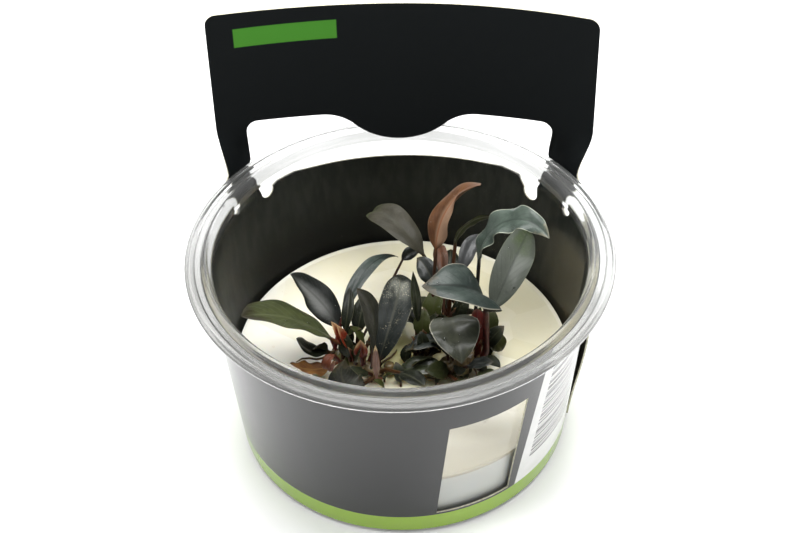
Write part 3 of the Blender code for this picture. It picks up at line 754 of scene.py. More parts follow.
# plants
@dataclass
class Leaf:
    """A stalk and blade: lengths in millimetres, angles in degrees, heading from +X towards +Y.

    along and around place its foot on its creeping stem; arch and turn are the change of rise and
    heading over the blade; wave is how far its margins ripple, waves how often. A slot left empty is
    its look's own.
    """
    node: str
    along: float
    around: float
    heading: float
    rise: float
    stalk: float
    blade: float
    width: float
    arch: float = 0.0
    turn: float = 0.0
    roll: float = 0.0
    twist: float = 0.0
    fold: float = 12.0
    widest: float = 0.45
    look: str = "slate"
    slot: str = ""
    wave: float = 0.25
    waves: float = 2.5
    stout: float = 1.0
    puff: float = 0.11
    droop: float = 0.0


LEAVES = {
    "left": [
        Leaf("olive_leaf", 0.23, -25, 172, 40, 5.1, 26, 13.3, -13, 50, 25, -30, look="olive"),
        Leaf("glossy_leaf", 0.21, -71, 125, 44, 6.1, 20.6, 8.1, 19, 100, -21, -12, look="glossy"),
        Leaf("arching_leaf", 0.03, -1, 64, 48, 8.2, 27.7, 4.0, -96, -16, 16, -24, look="blue"),
        Leaf("narrow_leaf", 0.24, 34, 69, 65, 6.5, 11.7, 3.0, -69, 24, -1, -3, look="dark"),
        Leaf("folded_leaf", 0.80, 5, 55, 76, 4.0, 23.8, 5.1, 46, -28, -70, -28),
        Leaf("broad_slate_leaf", 0.90, -11, 62, 51, 1.3, 30, 8.5, -86, 31, -3, 12, look="speckled"),
        Leaf("small_under_leaf", 0.0, 45, 190, 7, 0.5, 10.7, 6.5, 73, 9, 22, -37, look="dark", wave=0.1),
        Leaf("dead_leaf", 0.19, 91, 214, 7, 2.8, 11.4, 5.5, 45, -25, -8, 24, look="dead", wave=0.5),
        Leaf("front_curled_leaf", 0.91, 87, 227, 12, 3.2, 16.1, 8.3, 109, -28, -88, -12, look="dark",
             wave=0.5, waves=2.0, slot="slate_leaf"),
        Leaf("thread_stalk_leaf", 0.32, -90, 63, 17, 28.8, 6.0, 3.4, -33, -57, 48, 9, stout=0.75,
             slot="blue_grey_leaf"),
        Leaf("inner_arching_leaf", 0.39, -49, 80, 52, 5.0, 10.5, 4.6, -30, -20, -2, 18, look="dark",
             slot="slate_leaf"),
        Leaf("front_low_leaf", 1.0, 0, -50, 29, 8.1, 9.1, 5.0, -30, look="dark", slot="olive_leaf"),
        Leaf("rear_low_leaf", 0.48, -78, 57, 39, 5.5, 11, 5.5, -40, look="dark"),
        Leaf("curled_sheath", 0.29, 77, 236, 60, 6.6, 9.5, 2.6, -310, look="ring", wave=0.1),
        Leaf("orange_sheath_1", 0.38, 24, 156, 67, 3.3, 8.2, 3.3, 2, 0, -13, 2, fold=35, look="sheath",
             wave=0),
        Leaf("orange_sheath_2", 0.47, 21, 160, 66, 3.5, 7.6, 3.2, 8, -2, -9, fold=35, look="sheath",
             wave=0),
        Leaf("red_sheath", 0.63, 26, 91, 89, 2.4, 6.4, 4.2, 14, 7, -4, fold=35, look="sheath", wave=0.1),
        Leaf("pink_bract", 1.0, 80, 90, 88, 1.0, 10, 1.8, -8, look="pink", wave=0),
    ],
    "middle": [
        Leaf("brown_twisted_leaf", 0.58, -87, 72, 78, 23.6, 25.8, 7.7, -39, -143, 4, -3, look="brown",
             wave=0.35),
        Leaf("small_brown_leaf", 0.57, 34, 89, 51, 11.1, 17, 3.9, -106, 11, -34, 19, look="rust"),
        Leaf("pale_rear_leaf", 1.0, 50, 142, 49, 18.2, 26.7, 8.3, -111, -34, 14, -43, look="shaded"),
        Leaf("dark_rear_leaf", 0.69, -21, 114, 64, 10.0, 8.4, 5.2, -64, 18, -24, -10),
        Leaf("violet_leaf", 0.77, 65, 74, 55, 14.2, 11.3, 4.2, -68, -23, 25, 5, look="violet"),
        Leaf("edge_on_leaf", 0.90, -20, 18, 86, 23.3, 12.8, 4.7, -114, -1, 123, -12, look="olive"),
        Leaf("upright_olive_leaf", 0.29, -92, 114, 88, 7.6, 14.4, 2.5, -21, -10, -8, -17, look="low"),
        Leaf("shaded_green_leaf", 0.42, -55, 150, 50, 2.5, 9, 4.8, -60, -12, 10, 10, look="dark"),
        Leaf("grey_low_leaf", 0.53, 79, 239, 42, 3.6, 11.3, 7.5, -65, -55, -10, 40),
        Leaf("rear_leaf", 1.0, -74, 84, 34, 6.6, 11, 6.0, -40, look="dark"),
        Leaf("inner_leaf", 0.48, -86, 142, 26, 5.2, 10, 5.5, -51, -5, 1, look="dark"),
    ],
    "right": [
        Leaf("low_front_leaf", 0.0, 23, 176, 16, 0.6, 12.9, 5.7, -63, -1, 3, -25, look="low"),
        Leaf("glossy_front_leaf", 0.22, -60, 100, 82, 11.2, 15.0, 12.0, 78, 0, 180, fold=6,
             widest=0.38, droop=70, puff=0.05, look="front"),
        Leaf("broad_blue_leaf", 0.68, 72, 239, 87, 16.4, 23.3, 15, -102, -72, -17, 21, look="blue",
             stout=1.7),
        Leaf("wavy_leaf", 0.72, -84, 15, 88, 28.6, 28.6, 7.3, -98, -84, 6, 30, look="wavy", wave=0.85,
             waves=3.6),
        Leaf("tall_slate_leaf", 0.84, -27, 51, 59, 8.3, 28.4, 8.8, -94, 28, 22, 6, fold=7,
             look="grey_green", stout=1.5, puff=0.03),
        Leaf("round_leaf", 0.74, -25, -14, 32, 1.7, 6.2, 5.4, -124, -12, 12, 12, look="round"),
        Leaf("small_slate_leaf", 0.12, 58, -21, 39, 4.2, 6.7, 4.2, -31, 17, -4, 6),
        Leaf("hidden_front_leaf_1", 0.41, 81, -67, 29, 5.3, 9.0, 5.0, -40, look="olive"),
        Leaf("hidden_front_leaf_2", 0.02, 79, -70, 33, 5.6, 9.0, 5.0, -35, look="olive"),
        Leaf("red_stem_sheath", 0.56, 40, 100, 80, 0.6, 12.5, 4.2, -5, widest=0.72, fold=30,
             look="deep_red", wave=0.1),
    ],
}


@dataclass
class Look:
    """Colours of a leaf's parts, with how strongly each mark shows, and the record's slot for it."""
    slot: str
    blade: tuple
    shade: tuple
    under: tuple
    rib: tuple
    margin: tuple
    stalk: tuple
    tip: tuple
    tip_start: float = 0.9
    rib_strength: float = 0.45
    margin_strength: float = 0.5
    speckle: float = 0.45
    speckle_colour: tuple = (0.35, 0.38, 0.34)
    patch: float = 0.0
    patch_colour: tuple = (0.2, 0.15, 0.05)
    roughness: float = 0.36
    coat: float = 0.3
    shine: float = 0.35
    base_painted_shade: float = 0.4
    half: float = 0.0
    painted_sheen: float = 0.0
    painted_sheen_side: float = 0.0
    varied: bool = False


LOOKS = {
    "slate": Look(
        "slate_leaf", (0.02, 0.025, 0.021), (0.006, 0.008, 0.007), (0.037, 0.037, 0.026),
        (0.052, 0.052, 0.033), (0.222, 0.207, 0.148), (0.063, 0.022, 0.01), (0.044, 0.037, 0.022)),
    # the speckled leaf's patch is a painted sheen on its upper blade
    "speckled": Look(
        "slate_leaf", (0.019, 0.023, 0.021), (0.007, 0.009, 0.008), (0.037, 0.037, 0.026),
        (0.044, 0.044, 0.03), (0.192, 0.185, 0.133), (0.067, 0.022, 0.011), (0.044, 0.041, 0.03),
        patch=1.0, patch_colour=(0.175, 0.18, 0.155), speckle=0.55, speckle_colour=(0.62, 0.56, 0.40),
        base_painted_shade=1.0, coat=0.0, shine=0.12),
    # the glossy leaf's patch colour is its painted sheen
    "glossy": Look(
        "black_green_leaf", (0.013, 0.015, 0.013), (0.004, 0.006, 0.005), (0.022, 0.022, 0.015),
        (0.044, 0.044, 0.037), (0.118, 0.111, 0.089), (0.067, 0.022, 0.009), (0.015, 0.015, 0.011),
        coat=0.6, patch_colour=(0.21, 0.215, 0.205), painted_sheen=0.85, painted_sheen_side=0.22),
    "dark": Look(
        "black_green_leaf", (0.01, 0.013, 0.006), (0.003, 0.004, 0.002), (0.022, 0.026, 0.011),
        (0.044, 0.044, 0.022), (0.148, 0.148, 0.081), (0.052, 0.022, 0.007), (0.052, 0.044, 0.022),
        coat=0.05, shine=0.18, speckle=0.2),
    "blue": Look(
        "blue_grey_leaf", (0.039, 0.052, 0.044), (0.017, 0.024, 0.021), (0.037, 0.033, 0.022),
        (0.007, 0.01, 0.008), (0.266, 0.252, 0.2), (0.111, 0.015, 0.013), (0.067, 0.059, 0.044),
        margin_strength=0.8, rib_strength=0.8, coat=0.16, shine=0.3),
    "front": Look(
        "blue_grey_leaf", (0.052, 0.056, 0.034), (0.022, 0.026, 0.015), (0.044, 0.041, 0.022),
        (0.059, 0.063, 0.037), (0.333, 0.318, 0.244), (0.063, 0.022, 0.01), (0.089, 0.067, 0.037),
        roughness=0.42, margin_strength=0.8),
    "wavy": Look(
        "grey_green_leaf", (0.075, 0.100, 0.080), (0.034, 0.048, 0.038), (0.052, 0.056, 0.037),
        (0.012, 0.016, 0.013), (0.407, 0.429, 0.34), (0.016, 0.013, 0.009), (0.148, 0.141, 0.096),
        margin_strength=1.0),
    "grey_green": Look(
        "grey_green_leaf", (0.074, 0.084, 0.067), (0.064, 0.072, 0.058), (0.052, 0.052, 0.037),
        (0.026, 0.031, 0.025), (0.118, 0.133, 0.081), (0.052, 0.018, 0.011), (0.044, 0.052, 0.022),
        patch=0.7, patch_colour=(0.050, 0.080, 0.015), base_painted_shade=0.0, coat=0.15, shine=0.3, speckle=0.25,
        speckle_colour=(0.37, 0.37, 0.34)),
    "olive": Look(
        "olive_leaf", (0.056, 0.066, 0.024), (0.026, 0.031, 0.012), (0.056, 0.056, 0.026),
        (0.081, 0.089, 0.044), (0.052, 0.041, 0.022), (0.089, 0.033, 0.013), (0.014, 0.010, 0.005),
        tip_start=0.78, coat=0.05, shine=0.2, margin_strength=0.7),
    "low": Look(
        "olive_leaf", (0.027, 0.033, 0.013), (0.009, 0.012, 0.005), (0.037, 0.037, 0.015),
        (0.052, 0.059, 0.03), (0.237, 0.237, 0.148), (0.067, 0.026, 0.009), (0.037, 0.026, 0.011),
        margin_strength=0.7),
    "shaded": Look(
        "olive_leaf", (0.046, 0.042, 0.028), (0.023, 0.021, 0.012), (0.044, 0.044, 0.022),
        (0.037, 0.037, 0.022), (0.074, 0.074, 0.044), (0.044, 0.026, 0.013), (0.037, 0.052, 0.011),
        tip_start=0.70, roughness=0.6, coat=0.1, speckle=0.1),
    "violet": Look(
        "violet_leaf", (0.074, 0.077, 0.077), (0.037, 0.04, 0.04), (0.059, 0.052, 0.052),
        (0.052, 0.056, 0.056), (0.163, 0.155, 0.141), (0.059, 0.033, 0.026), (0.059, 0.059, 0.059)),
    "brown": Look(
        "brown_leaf", (0.140, 0.060, 0.021), (0.070, 0.028, 0.011), (0.140, 0.066, 0.028),
        (0.200, 0.060, 0.015), (0.266, 0.185, 0.118), (0.059, 0.022, 0.009), (0.110, 0.048, 0.018),
        tip_start=0.6, rib_strength=0.7, roughness=0.5, coat=0.1, shine=0.3, half=0.9,
        patch_colour=(0.33, 0.205, 0.13)),
    "rust": Look(
        "brown_leaf", (0.085, 0.034, 0.016), (0.040, 0.016, 0.008), (0.096, 0.044, 0.022),
        (0.120, 0.040, 0.015), (0.160, 0.090, 0.050), (0.059, 0.022, 0.009), (0.090, 0.040, 0.016),
        roughness=0.5, coat=0.1, shine=0.3),
    "round": Look(
        "black_green_leaf", (0.026, 0.028, 0.005), (0.010, 0.011, 0.003), (0.03, 0.03, 0.009),
        (0.026, 0.027, 0.009), (0.074, 0.074, 0.03), (0.067, 0.026, 0.009), (0.026, 0.018, 0.007),
        coat=0.1, shine=0.25, speckle=0.15),
    "ring": Look(
        "orange_sheath", (0.110, 0.030, 0.010), (0.055, 0.013, 0.005), (0.089, 0.037, 0.026),
        (0.089, 0.026, 0.015), (0.222, 0.118, 0.067), (0.074, 0.013, 0.007), (0.259, 0.148, 0.081),
        tip_start=0.8, speckle=0.1, coat=0.0, shine=0.3, roughness=0.5),
    "pink": Look(
        "pink_bract", (0.222, 0.118, 0.089), (0.118, 0.056, 0.041), (0.222, 0.126, 0.089),
        (0.185, 0.081, 0.059), (0.37, 0.296, 0.207), (0.163, 0.059, 0.033), (0.555, 0.429, 0.237),
        tip_start=0.82),
    "sheath": Look(
        "orange_sheath", (0.266, 0.041, 0.009), (0.111, 0.009, 0.004), (0.192, 0.059, 0.03),
        (0.192, 0.044, 0.022), (0.333, 0.178, 0.104), (0.096, 0.013, 0.007), (0.459, 0.296, 0.148),
        tip_start=0.62, speckle=0.1),
    "deep_red": Look(
        "red_sheath", (0.260, 0.033, 0.022), (0.150, 0.018, 0.013), (0.089, 0.018, 0.015),
        (0.118, 0.03, 0.022), (0.163, 0.074, 0.059), (0.096, 0.013, 0.009), (0.118, 0.052, 0.037),
        tip_start=0.85, speckle=0.1, base_painted_shade=0.0, coat=0.15, shine=0.25),
    "undergrowth": Look(
        "black_green_leaf", (0.015, 0.018, 0.007), (0.004, 0.006, 0.003), (0.026, 0.028, 0.011),
        (0.044, 0.044, 0.022), (0.118, 0.118, 0.059), (0.052, 0.016, 0.007), (0.037, 0.026, 0.011),
        patch_colour=(0.037, 0.044, 0.009), coat=0.05, shine=0.2, varied=True),
    "scale": Look(
        "red_sheath", (0.148, 0.021, 0.009), (0.044, 0.007, 0.004), (0.118, 0.037, 0.015),
        (0.111, 0.037, 0.015), (0.185, 0.089, 0.044), (0.059, 0.011, 0.006), (0.296, 0.185, 0.089),
        tip_start=0.7, speckle=0.1, patch_colour=(0.067, 0.033, 0.015), varied=True),
    "dead": Look(
        "dead_leaf", (0.192, 0.085, 0.016), (0.074, 0.027, 0.007), (0.163, 0.074, 0.022),
        (0.252, 0.148, 0.044), (0.296, 0.207, 0.089), (0.104, 0.037, 0.015), (0.067, 0.03, 0.009),
        roughness=0.6, coat=0.05, speckle=0.1),
}


def leaf_finish(name, look):
    """A leaf's skin: mottled blade with painted shade towards its base and, on some leaves, a painted sheen;
    midrib, side veins, pale margin, specks, stalk and underside.
    """
    material, shade = finish(name + "_leaf_skin", ior=1.45, specular_ior_level=look.shine,
                             coat_weight=look.coat, coat_roughness=0.20)
    u, v = shade.uv("pattern")
    under = v.step(1.4, 1.6)
    over = v - under * 2.0
    offset = (over - 0.5) * 2.0
    across = abs(offset)
    blade = (u - 0.5) * 2.0
    mottle = shade.noise(240.0, 4.0, 0.62).step(0.3, 0.72)
    colour = mottle.mix(look.shade, look.blade)
    # painted shade: the blade darkened towards its base
    colour = (blade.step(0.75, 0.0) * look.base_painted_shade).mix(colour, look.shade)
    # painted sheen: a pale streak along one side of the blade
    if look.painted_sheen:
        away = abs(offset - look.painted_sheen_side - 0.15 * (mottle - 0.5))
        painted_sheen = away.step(0.75, 0.10) * blade.step(0.05, 0.35) * blade.step(0.98, 0.7)
        colour = (painted_sheen * look.painted_sheen).mix(colour, look.patch_colour)
    if look.varied:
        colour = (shade.attribute("tone").step(0.5, 1.0) * 0.8).mix(colour, look.patch_colour)
    vein = abs(shade.maths("FRACT", blade * 11.0 - across * 3.4) - 0.5).step(0.40, 0.5)
    vein = vein * across.step(0.02, 0.2)
    colour = (vein * 0.25).mix(colour, look.rib)
    colour = (under * 0.8).mix(colour, look.under)
    if look.half:
        pale = over.step(0.66, 0.48) * u.step(0.5, 0.56) * u.step(0.88, 0.74)
        colour = (pale * look.half).mix(colour, look.patch_colour)
    # patches: a green spot on the grey-green leaf; on the speckled leaf a painted sheen over the upper blade
    patches = blade.step(0.4, 0.72) * across.step(0.9, 0.4) * shade.noise(150.0, 3.0, 0.6).step(0.36, 0.60)
    colour = (patches * 0.75 * look.patch).mix(colour, look.patch_colour)
    dust = shade.cells(2300.0).step(0.34, 0.16)
    specks = dust * (shade.noise(260.0, 2.0).step(0.5, 0.7) * 0.5 + patches * look.patch)
    colour = (specks * look.speckle).mix(colour, look.speckle_colour)
    rib = across.step(0.11, 0.03)
    colour = (rib * look.rib_strength).mix(colour, look.rib)
    edge = across.step(0.945, 0.99)
    colour = (edge * look.margin_strength).mix(colour, look.margin)
    tip = (blade + 0.2 * (mottle - 0.5) + 0.1 * across).step(look.tip_start, 1.0)
    colour = (tip * 0.85).mix(colour, look.tip)
    stalk = u.step(0.53, 0.47)
    streaks = shade.noise(350.0, 3.0).step(0.3, 0.7)
    colour = stalk.mix(colour, streaks.mix(tuple(0.4 * c for c in look.stalk), look.stalk))
    roughness = look.roughness + 0.2 * shade.noise(500.0, 3.0) + 0.08 * under
    height = shade.noise(1100.0, 2.0) * 0.3 - vein * 0.6 + mottle * 0.35 + dust * 0.15
    paint(shade, base_color=colour, roughness=roughness, normal=shade.bump(height, 0.3, 0.0003))
    return material


def stem_point(plant, along):
    """A place on a creeping stem, from 0 at its old end to 1 at its tip, and the stem's way there."""
    points = [np.array((x, y, STEM_HEIGHT)) for x, y in CREEPING_STEMS[plant]]
    lengths = [np.linalg.norm(b - a) for a, b in zip(points, points[1:])]
    rest = along * sum(lengths)
    for i, length in enumerate(lengths):
        if rest <= length or i == len(lengths) - 1:
            way = (points[i + 1] - points[i]) / length
            return points[i] + way * min(rest, length), way
        rest -= length


def leaf_frame(leaf, s):
    """A leaf's directions along, across and out of its face, from s = -1, its foot, to 1, its tip."""
    blade = max(s, 0.0)
    rise = math.radians(leaf.rise + leaf.arch * blade + leaf.droop * smooth(blade / 0.15))
    heading = math.radians(leaf.heading + leaf.turn * blade)
    roll = math.radians(leaf.roll + leaf.twist * blade)
    level = np.array([math.cos(heading), math.sin(heading), 0.0])
    along = level * math.cos(rise) + np.array([0.0, 0.0, math.sin(rise)])
    side = np.array([-math.sin(heading), math.cos(heading), 0.0])
    face = np.cross(along, side)
    cos, sin = math.cos(roll), math.sin(roll)
    return along, side * cos + face * sin, face * cos - side * sin


def leaf_foot(plant, leaf):
    """Where a stalk leaves its creeping stem, and the way out of the stem there."""
    place, way = stem_point(plant, leaf.along)
    side = np.array([way[1], -way[0], 0.0])
    angle = math.radians(leaf.around)
    outward = np.array([0.0, 0.0, math.cos(angle)]) + side * math.sin(angle)
    leaning = np.linalg.norm(np.cross(outward, leaf_frame(leaf, -1.0)[0]))
    return place + outward * (STEM_RADIUS + GAP + STALK_WIDTH / 2 * leaning), outward


def blade_half_width(leaf, t):
    """Half the blade's width, which swells to its widest place and runs out to a point at each end."""
    t = min(max(t, 0.0), 1.0)
    base, rest = leaf.widest, 1 - leaf.widest
    return leaf.width / 2 * ((t / base) ** (base * 1.5) * ((1 - t) / rest) ** (rest * 1.5))


def leaf_ring(leaf, centre, s, seed, count):
    """One cross-section of a leaf: upper side from margin to margin, then the under side back."""
    _, side, face = leaf_frame(leaf, s)
    # 0 on the round stalk, 1 on the flat blade
    flat = smooth((s + 0.04) / 0.16)
    stalk = STALK_WIDTH / 2 * leaf.stout * (1.0 + 0.7 * math.exp(-(s + 1.0) / 0.09))
    wide = blade_half_width(leaf, s) if s > 0.0 else 0.0
    half = max(wide, stalk * (1.0 - flat), LEAST_HALF_WIDTH)
    thick = stalk * (1.0 - flat) + BLADE_HALF_THICKNESS * flat * (1.0 - 0.5 * smooth((s - 0.8) / 0.2))
    fold = math.radians(leaf.fold)
    ring, chart_top, chart_under = [], [], []
    for k in range(2 * count):
        upper = k < count
        # from -1 at one margin to 1 at the other
        a = -1.0 + 2.0 * k / count if upper else 1.0 - 2.0 * (k - count) / count
        lift = (math.sqrt(a * a + 0.03) - 0.17) * half * math.sin(fold) * flat
        lift += leaf.puff * half * math.sin(math.pi * abs(a)) * flat
        ripple = math.sin(math.tau * leaf.waves * s + seed * 1.7 + (1.3 if a > 0 else 0.0))
        lift += leaf.wave * ripple * a * a * smooth(s / 0.2) * min(half / 3.0, 1.0)
        body = math.sqrt(max(1.0 - abs(a) ** (2.0 + 2.0 * flat), 0.0)) * thick
        rib = math.exp(-(a * half / RIB_REACH) ** 2) * flat * (1.0 - smooth((s - 0.5) / 0.5))
        depth = body - RIB_ABOVE * rib if upper else -body - RIB_BELOW * rib
        ring.append(centre + side * (a * half * math.cos(fold * flat)) + face * (lift + depth))
        chart_top.append(((s + 1) / 2, (a + 1) / 2))
        chart_under.append(((s + 1) / 2, 2.0 + (a + 1) / 2))
    return ring, chart_top, chart_under


def leaf_mesh(name, leaf, foot, outward, material, seed=0.0, steps=(12, 40), across=9):
    """A leaf grown from its foot: rings along the stalk and the blade, closed at both ends."""
    along = leaf_frame(leaf, -1.0)[0]
    root = foot - outward * ROOT_DEPTH - along * ROOT_BACK
    on_stalk, on_blade = np.linspace(-1.0, 0.0, steps[0])[:-1], np.linspace(0, 1, steps[1])
    stations = [*on_stalk, *(1.0 - (1.0 - on_blade) ** 1.15)]
    rings, tops, unders = [], [], []
    past, at = -1.0, foot.copy()
    for s in stations:
        parts = max(2, int(abs(s - past) * 60))
        for i in range(parts):
            middle = past + (s - past) * (i + 0.5) / parts
            length = leaf.stalk if middle < 0.0 else leaf.blade
            at = at + leaf_frame(leaf, middle)[0] * (length * (s - past) / parts)
        past = s
        rooted = smooth((s + 1.0) * max(leaf.stalk, 1.0) / 2.0) if s < 0.0 else 1.0
        ring, top, under = leaf_ring(leaf, root + (at - root) * rooted, s, seed, across)
        rings.append(ring)
        tops.append(top)
        unders.append(under)
    return lofted(name, np.array(rings), [material], (tops, unders))


def make_leaf(plant, leaf, material, seed):
    foot, outward = leaf_foot(plant, leaf)
    piece = leaf_mesh(leaf.node + "_blade", leaf, foot, outward, material, seed)
    return place_piece(piece, leaf.slot or LOOKS[leaf.look].slot, leaf.node)


def stem_finish():
    material, shade = finish("creeping_stem_bark", ior=1.4, coat_weight=0.6, coat_roughness=0.15)
    blotch = shade.noise(260.0, 4.0, 0.6).step(0.3, 0.7)
    colour = blotch.mix((0.055, 0.040, 0.015), (0.17, 0.115, 0.045))
    green = shade.noise(140.0, 2.0).step(0.5, 0.7)
    colour = (green * 0.5).mix(colour, (0.11, 0.13, 0.035))
    paint(shade, base_color=colour, roughness=0.45 + 0.2 * blotch,
          normal=shade.bump(shade.noise(900.0, 4.0), 0.5, 0.0004))
    return material


def tube(name, path, radii, material, around=16, seed=0.0):
    """A round tube through a path with a radius at each point, closed with domed ends."""
    path = np.array(path)
    rings = []
    for i, (centre, radius) in enumerate(zip(path, radii)):
        way = path[min(i + 1, len(path) - 1)] - path[max(i - 1, 0)]
        way = way / np.linalg.norm(way)
        side = np.cross(way, (0.0, 0.0, 1.0))
        if np.linalg.norm(side) < 0.05:
            side = np.cross(way, (1.0, 0.0, 0.0))
        side = side / np.linalg.norm(side)
        up = np.cross(side, way)
        ring = []
        for j in range(around):
            angle = math.tau * j / around
            broad, fine = math.sin(3 * angle + 2.1 * i + seed), math.sin(5 * angle - 1.3 * i + seed)
            spoke = side * math.cos(angle) + up * math.sin(angle)
            ring.append(centre + spoke * radius * (1.0 + 0.05 * broad + 0.04 * fine))
        rings.append(ring)
    return lofted(name, np.array(rings)[:, ::-1], [material])


def make_stem(plant, material, seed):
    """A ringed creeping stem, thinner at both ends."""
    path, radii = [], []
    for t in np.linspace(0.0, 1.0, 46):
        end = smooth(min(t, 1.0 - t) * 15.0)
        ring = max(0.0, math.sin(math.tau * t * STEM_RINGS + seed)) ** 4
        path.append(stem_point(plant, t)[0] - (0.0, 0.0, STEM_CLEARANCE))
        radii.append((STEM_RADIUS - STEM_CLEARANCE) * (0.45 + 0.5 * end + 0.10 * ring))
    stem = tube(plant + "_rhizome", path, radii, material, seed=seed)
    return place_piece(stem, "creeping_stem", plant + "_creeping_stem")


def make_stubs(material):
    """Short upright ends of old stem, rounded on top."""
    shares = [0.0, 0.2, 0.4, 0.6, 0.8, 0.92, 0.98, 1.0]
    swell = [0.9, 1.0, 1.03, 0.98, 1.0, 0.9, 0.62, 0.2]
    stubs = []
    for foot, top, radius in (end for ends in OLD_STUBS.values() for end in ends):
        foot, top = np.array(foot), np.array(top)
        path = [foot + (top - foot) * t for t in shares]
        stubs.append(tube("stub", path, [radius * w for w in swell], material, seed=radius))
    place_piece(merged("old_stem_stubs", *stubs), "creeping_stem")


# undergrowth, roots and dew
ORIGIN, UPWARD = np.zeros(3), np.array((0.0, 0.0, 1.0))

# how each kind of small growth is sown, in the order of SOWN_SIZES
SOWING = {
    "undergrowth": (0.0016, 3.0e5, 0.0, 0.45, 0.6),
    "low_leaves": (0.0019, 1.8e5, 0.5, 1.0, 0.4),
    "scales": (0.0022, 2.0e5, 0.2, 0.6, 0.7),
    "roots": (0.002, 8.0e4, -0.5, 1.0, 0.6),
    "drops": (0.0015, 6.0e4, 0.35, 0.0, 0.3),
}

# each plant's largest size of undergrowth leaf and of scale, and the undergrowth's seed
LARGEST = {"left": (1.15, 1.5, 3), "middle": (1.7, 1.1, 4), "right": (1.15, 1.1, 8)}

SCALE_SEED, ROOT_SEED, LOW_LEAF_SEED = 23, 43, 63

# the leaves that carry water drops, each with its seed
WET_LEAVES = {"glossy_leaf": 7, "broad_slate_leaf": 4, "olive_leaf": 3, "tall_slate_leaf": 6,
              "broad_blue_leaf": 5, "glossy_front_leaf": 2}


def sown(kind, owner, tree, surface, shape, skin, largest, seed):
    """One kind of small growth or drop, scattered over a surface."""
    sizes = dict(zip(SOWN_SIZES, SOWING[kind]))
    return scattered(f"{owner}_{kind}", tree, surface, Shape=shape, Finish=skin, Largest=largest,
                     Seed=seed, **sizes)


def root_finish():
    material, shade = finish("root_skin", ior=1.4, coat_weight=0.2, coat_roughness=0.3)
    tone = shade.noise(500.0, 3.0).step(0.3, 0.7)
    colour = tone.mix((0.07, 0.04, 0.02), (0.20, 0.14, 0.07))
    paint(shade, base_color=colour, roughness=0.5 + 0.1 * tone)
    return material


def make_undergrowth(stems, skins):
    """The small dark leaves, red scales and roots that crowd each creeping stem."""
    tree = scatter_tree()
    dark_skin, scale_skin, root_skin = skins["undergrowth"], skins["scale"], root_finish()
    young = Leaf("young_leaf", 0, 0, 0, 82, 2.2, 7.0, 4.2, arch=-62, fold=16)
    scale = Leaf("scale_leaf", 0, 0, 0, 84, 0.6, 5.2, 2.4, arch=-8, fold=48, widest=0.35)
    young = leaf_mesh("young_leaf_shape", young, ORIGIN, UPWARD, dark_skin, 0.0, (4, 8), 4)
    scale = leaf_mesh("scale_shape", scale, ORIGIN, UPWARD, scale_skin, 0.0, (3, 7), 4)
    path = [(0.0, 0.0, 0.4), (0.7, 0.0, 0.0), (1.6, 0.1, -0.7), (2.6, 0.3, -1.4), (4.0, 0.2, -1.75),
            (5.6, -0.3, -1.8), (7.2, -0.4, -1.9), (8.6, 0.1, -2.4)]
    root = tube("root_shape", path, [0.3, 0.32, 0.32, 0.3, 0.28, 0.26, 0.22, 0.12], root_skin, 6)
    for number, (plant, stem) in enumerate(stems.items()):
        largest_leaf, largest_scale, seed = LARGEST[plant]
        leaves = sown("undergrowth", plant, tree, stem, young, dark_skin, largest_leaf, seed)
        ground = [(x, y, GEL_SURFACE - LOW_GROWTH_DEPTH) for x, y in LOW_GROWTH[plant]]
        ground = mesh_piece("ground_patch", ground, [list(range(len(ground)))], [])
        low = sown("low_leaves", plant, tree, ground, young, dark_skin, 0.8, LOW_LEAF_SEED + number)
        bpy.data.objects.remove(ground)
        place_piece(merged(plant + "_undergrowth", leaves, low), "black_green_leaf")
        scales = sown("scales", plant, tree, stem, scale, scale_skin, largest_scale, SCALE_SEED + number)
        place_piece(scales, "red_sheath")
        roots = sown("roots", plant, tree, stem, root, root_skin, 1.15, ROOT_SEED + number)
        place_piece(roots, "creeping_stem")
    for shape in (young, scale, root):
        bpy.data.objects.remove(shape)


def make_dew(leaves):
    """Water drops lying on the leaves that face upward."""
    water = finish("water_drop", base_color=(1.0, 1.0, 1.0), roughness=0.0, ior=1.33,
                   transmission_weight=1.0)[0]
    profile = [(0.0, 0.42), (0.25, 0.39), (0.42, 0.27), (0.5, 0.08), (0.42, -0.06), (0.0, -0.1)]
    drop = turned("drop_shape", profile, 14, [water])
    tree = scatter_tree()
    drops = [sown("drops", node, tree, leaves[node], drop, water, 1.15, seed)
             for node, seed in WET_LEAVES.items()]
    bpy.data.objects.remove(drop)
    place_piece(merged("dew_drops", *drops), "clear_cup")


# stage
WORLD_STRENGTH = 0.24


def make_stage():
    """A pale floor, just under the cup's foot."""
    reach, height = 3000.0, -0.02
    points = [(x * reach, y * reach, height) for x, y in ((-1, -1), (1, -1), (1, 1), (-1, 1))]
    material, shade = finish("pale_floor")
    tone = shade.noise(3.0, 2.0).mix((0.80, 0.80, 0.80), (0.82, 0.82, 0.82))
    paint(shade, base_color=tone, roughness=0.85 + 0.05 * shade.noise(8.0, 2.0))
    floor = mesh_piece("studio_floor", points, [[0, 1, 2, 3]], [material])


def soft_box(name, place, target, size, radiance):
    """A soft box whose face shines with the given radiance, unseen by the camera itself."""
    light = bpy.data.lights.new(name, "AREA")
    light.shape = "RECTANGLE"
    light.size, light.size_y = size
    light.energy = radiance * math.pi * size[0] * size[1]
    lamp = in_scene(name, light)
    lamp.location = Vector(place) * MM
    lamp.rotation_euler = (Vector(target) - Vector(place)).to_track_quat("-Z", "Y").to_euler()
    lamp.visible_camera = False


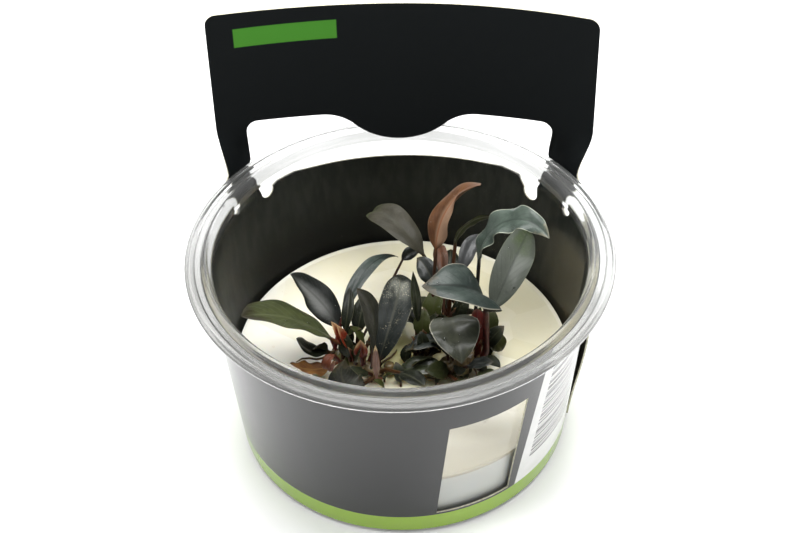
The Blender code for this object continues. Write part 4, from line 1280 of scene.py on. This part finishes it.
def make_light():
    """A white surround and four soft boxes, each with place and aim in mm, size in metres and radiance."""
    world = bpy.data.worlds.new("studio_white")
    world.use_nodes = True
    background = world.node_tree.nodes["Background"]
    background.inputs["Color"].default_value = (1.0, 1.0, 1.0, 1.0)
    background.inputs["Strength"].default_value = WORLD_STRENGTH
    bpy.context.scene.world = world
    soft_box("overhead_soft_box", (30, 60, 800), (0, 0, 20), (0.80, 0.75), 7.6)
    soft_box("rear_soft_box", (-120, 690, 620), (0, 0, 30), (1.0, 0.60), 3.6)
    soft_box("left_soft_box", (-650, -150, 420), (0, 0, 30), (0.35, 0.5), 2.6)
    soft_box("right_soft_box", (520, -480, 330), (0, 0, 30), (0.45, 0.45), 1.5)
    bpy.context.scene.view_settings.view_transform = "Standard"


def make_camera():
    """The photograph's view: looking down on the cup from in front, and rolled a little."""
    back = Vector((0.0, -math.cos(CAMERA_RISE), math.sin(CAMERA_RISE)))
    level = Vector((1.0, 0.0, 0.0))
    above = level.cross(-back)
    right = level * math.cos(CAMERA_ROLL) + above * math.sin(CAMERA_ROLL)
    up = above * math.cos(CAMERA_ROLL) - level * math.sin(CAMERA_ROLL)
    camera = bpy.data.cameras.new("photograph_camera")
    camera.sensor_width = SENSOR_WIDTH
    camera.lens = FOCAL_PIXELS * SENSOR_WIDTH / PHOTO_WIDTH
    camera.clip_start, camera.clip_end = 0.01, 20.0
    obj = in_scene("photograph_camera", camera)
    place = (Vector(CAMERA_TARGET) + back * CAMERA_DISTANCE) * MM
    turn = Matrix((right, up, back)).transposed().to_4x4()
    obj.matrix_world = Matrix.Translation(place) @ turn
    bpy.context.scene.camera = obj


make_camera()
make_light()
make_stage()
make_cup([clear_plastic(), hazy_plastic(), milky_lit_foot_plastic()])
make_gel(gel_finish())
make_card([card_face_finish(), card_print_finish(), card_edge_finish()])
skins = {name: leaf_finish(name, look) for name, look in LOOKS.items()}
bark = stem_finish()
leaves_made, stems = {}, {}
for number, (plant, leaves) in enumerate(LEAVES.items()):
    stems[plant] = make_stem(plant, bark, number * 2.3)
    for k, leaf in enumerate(leaves):
        leaves_made[leaf.node] = make_leaf(plant, leaf, skins[leaf.look], number * 20 + k)
make_stubs(bark)
make_undergrowth(stems, skins)
make_dew(leaves_made)
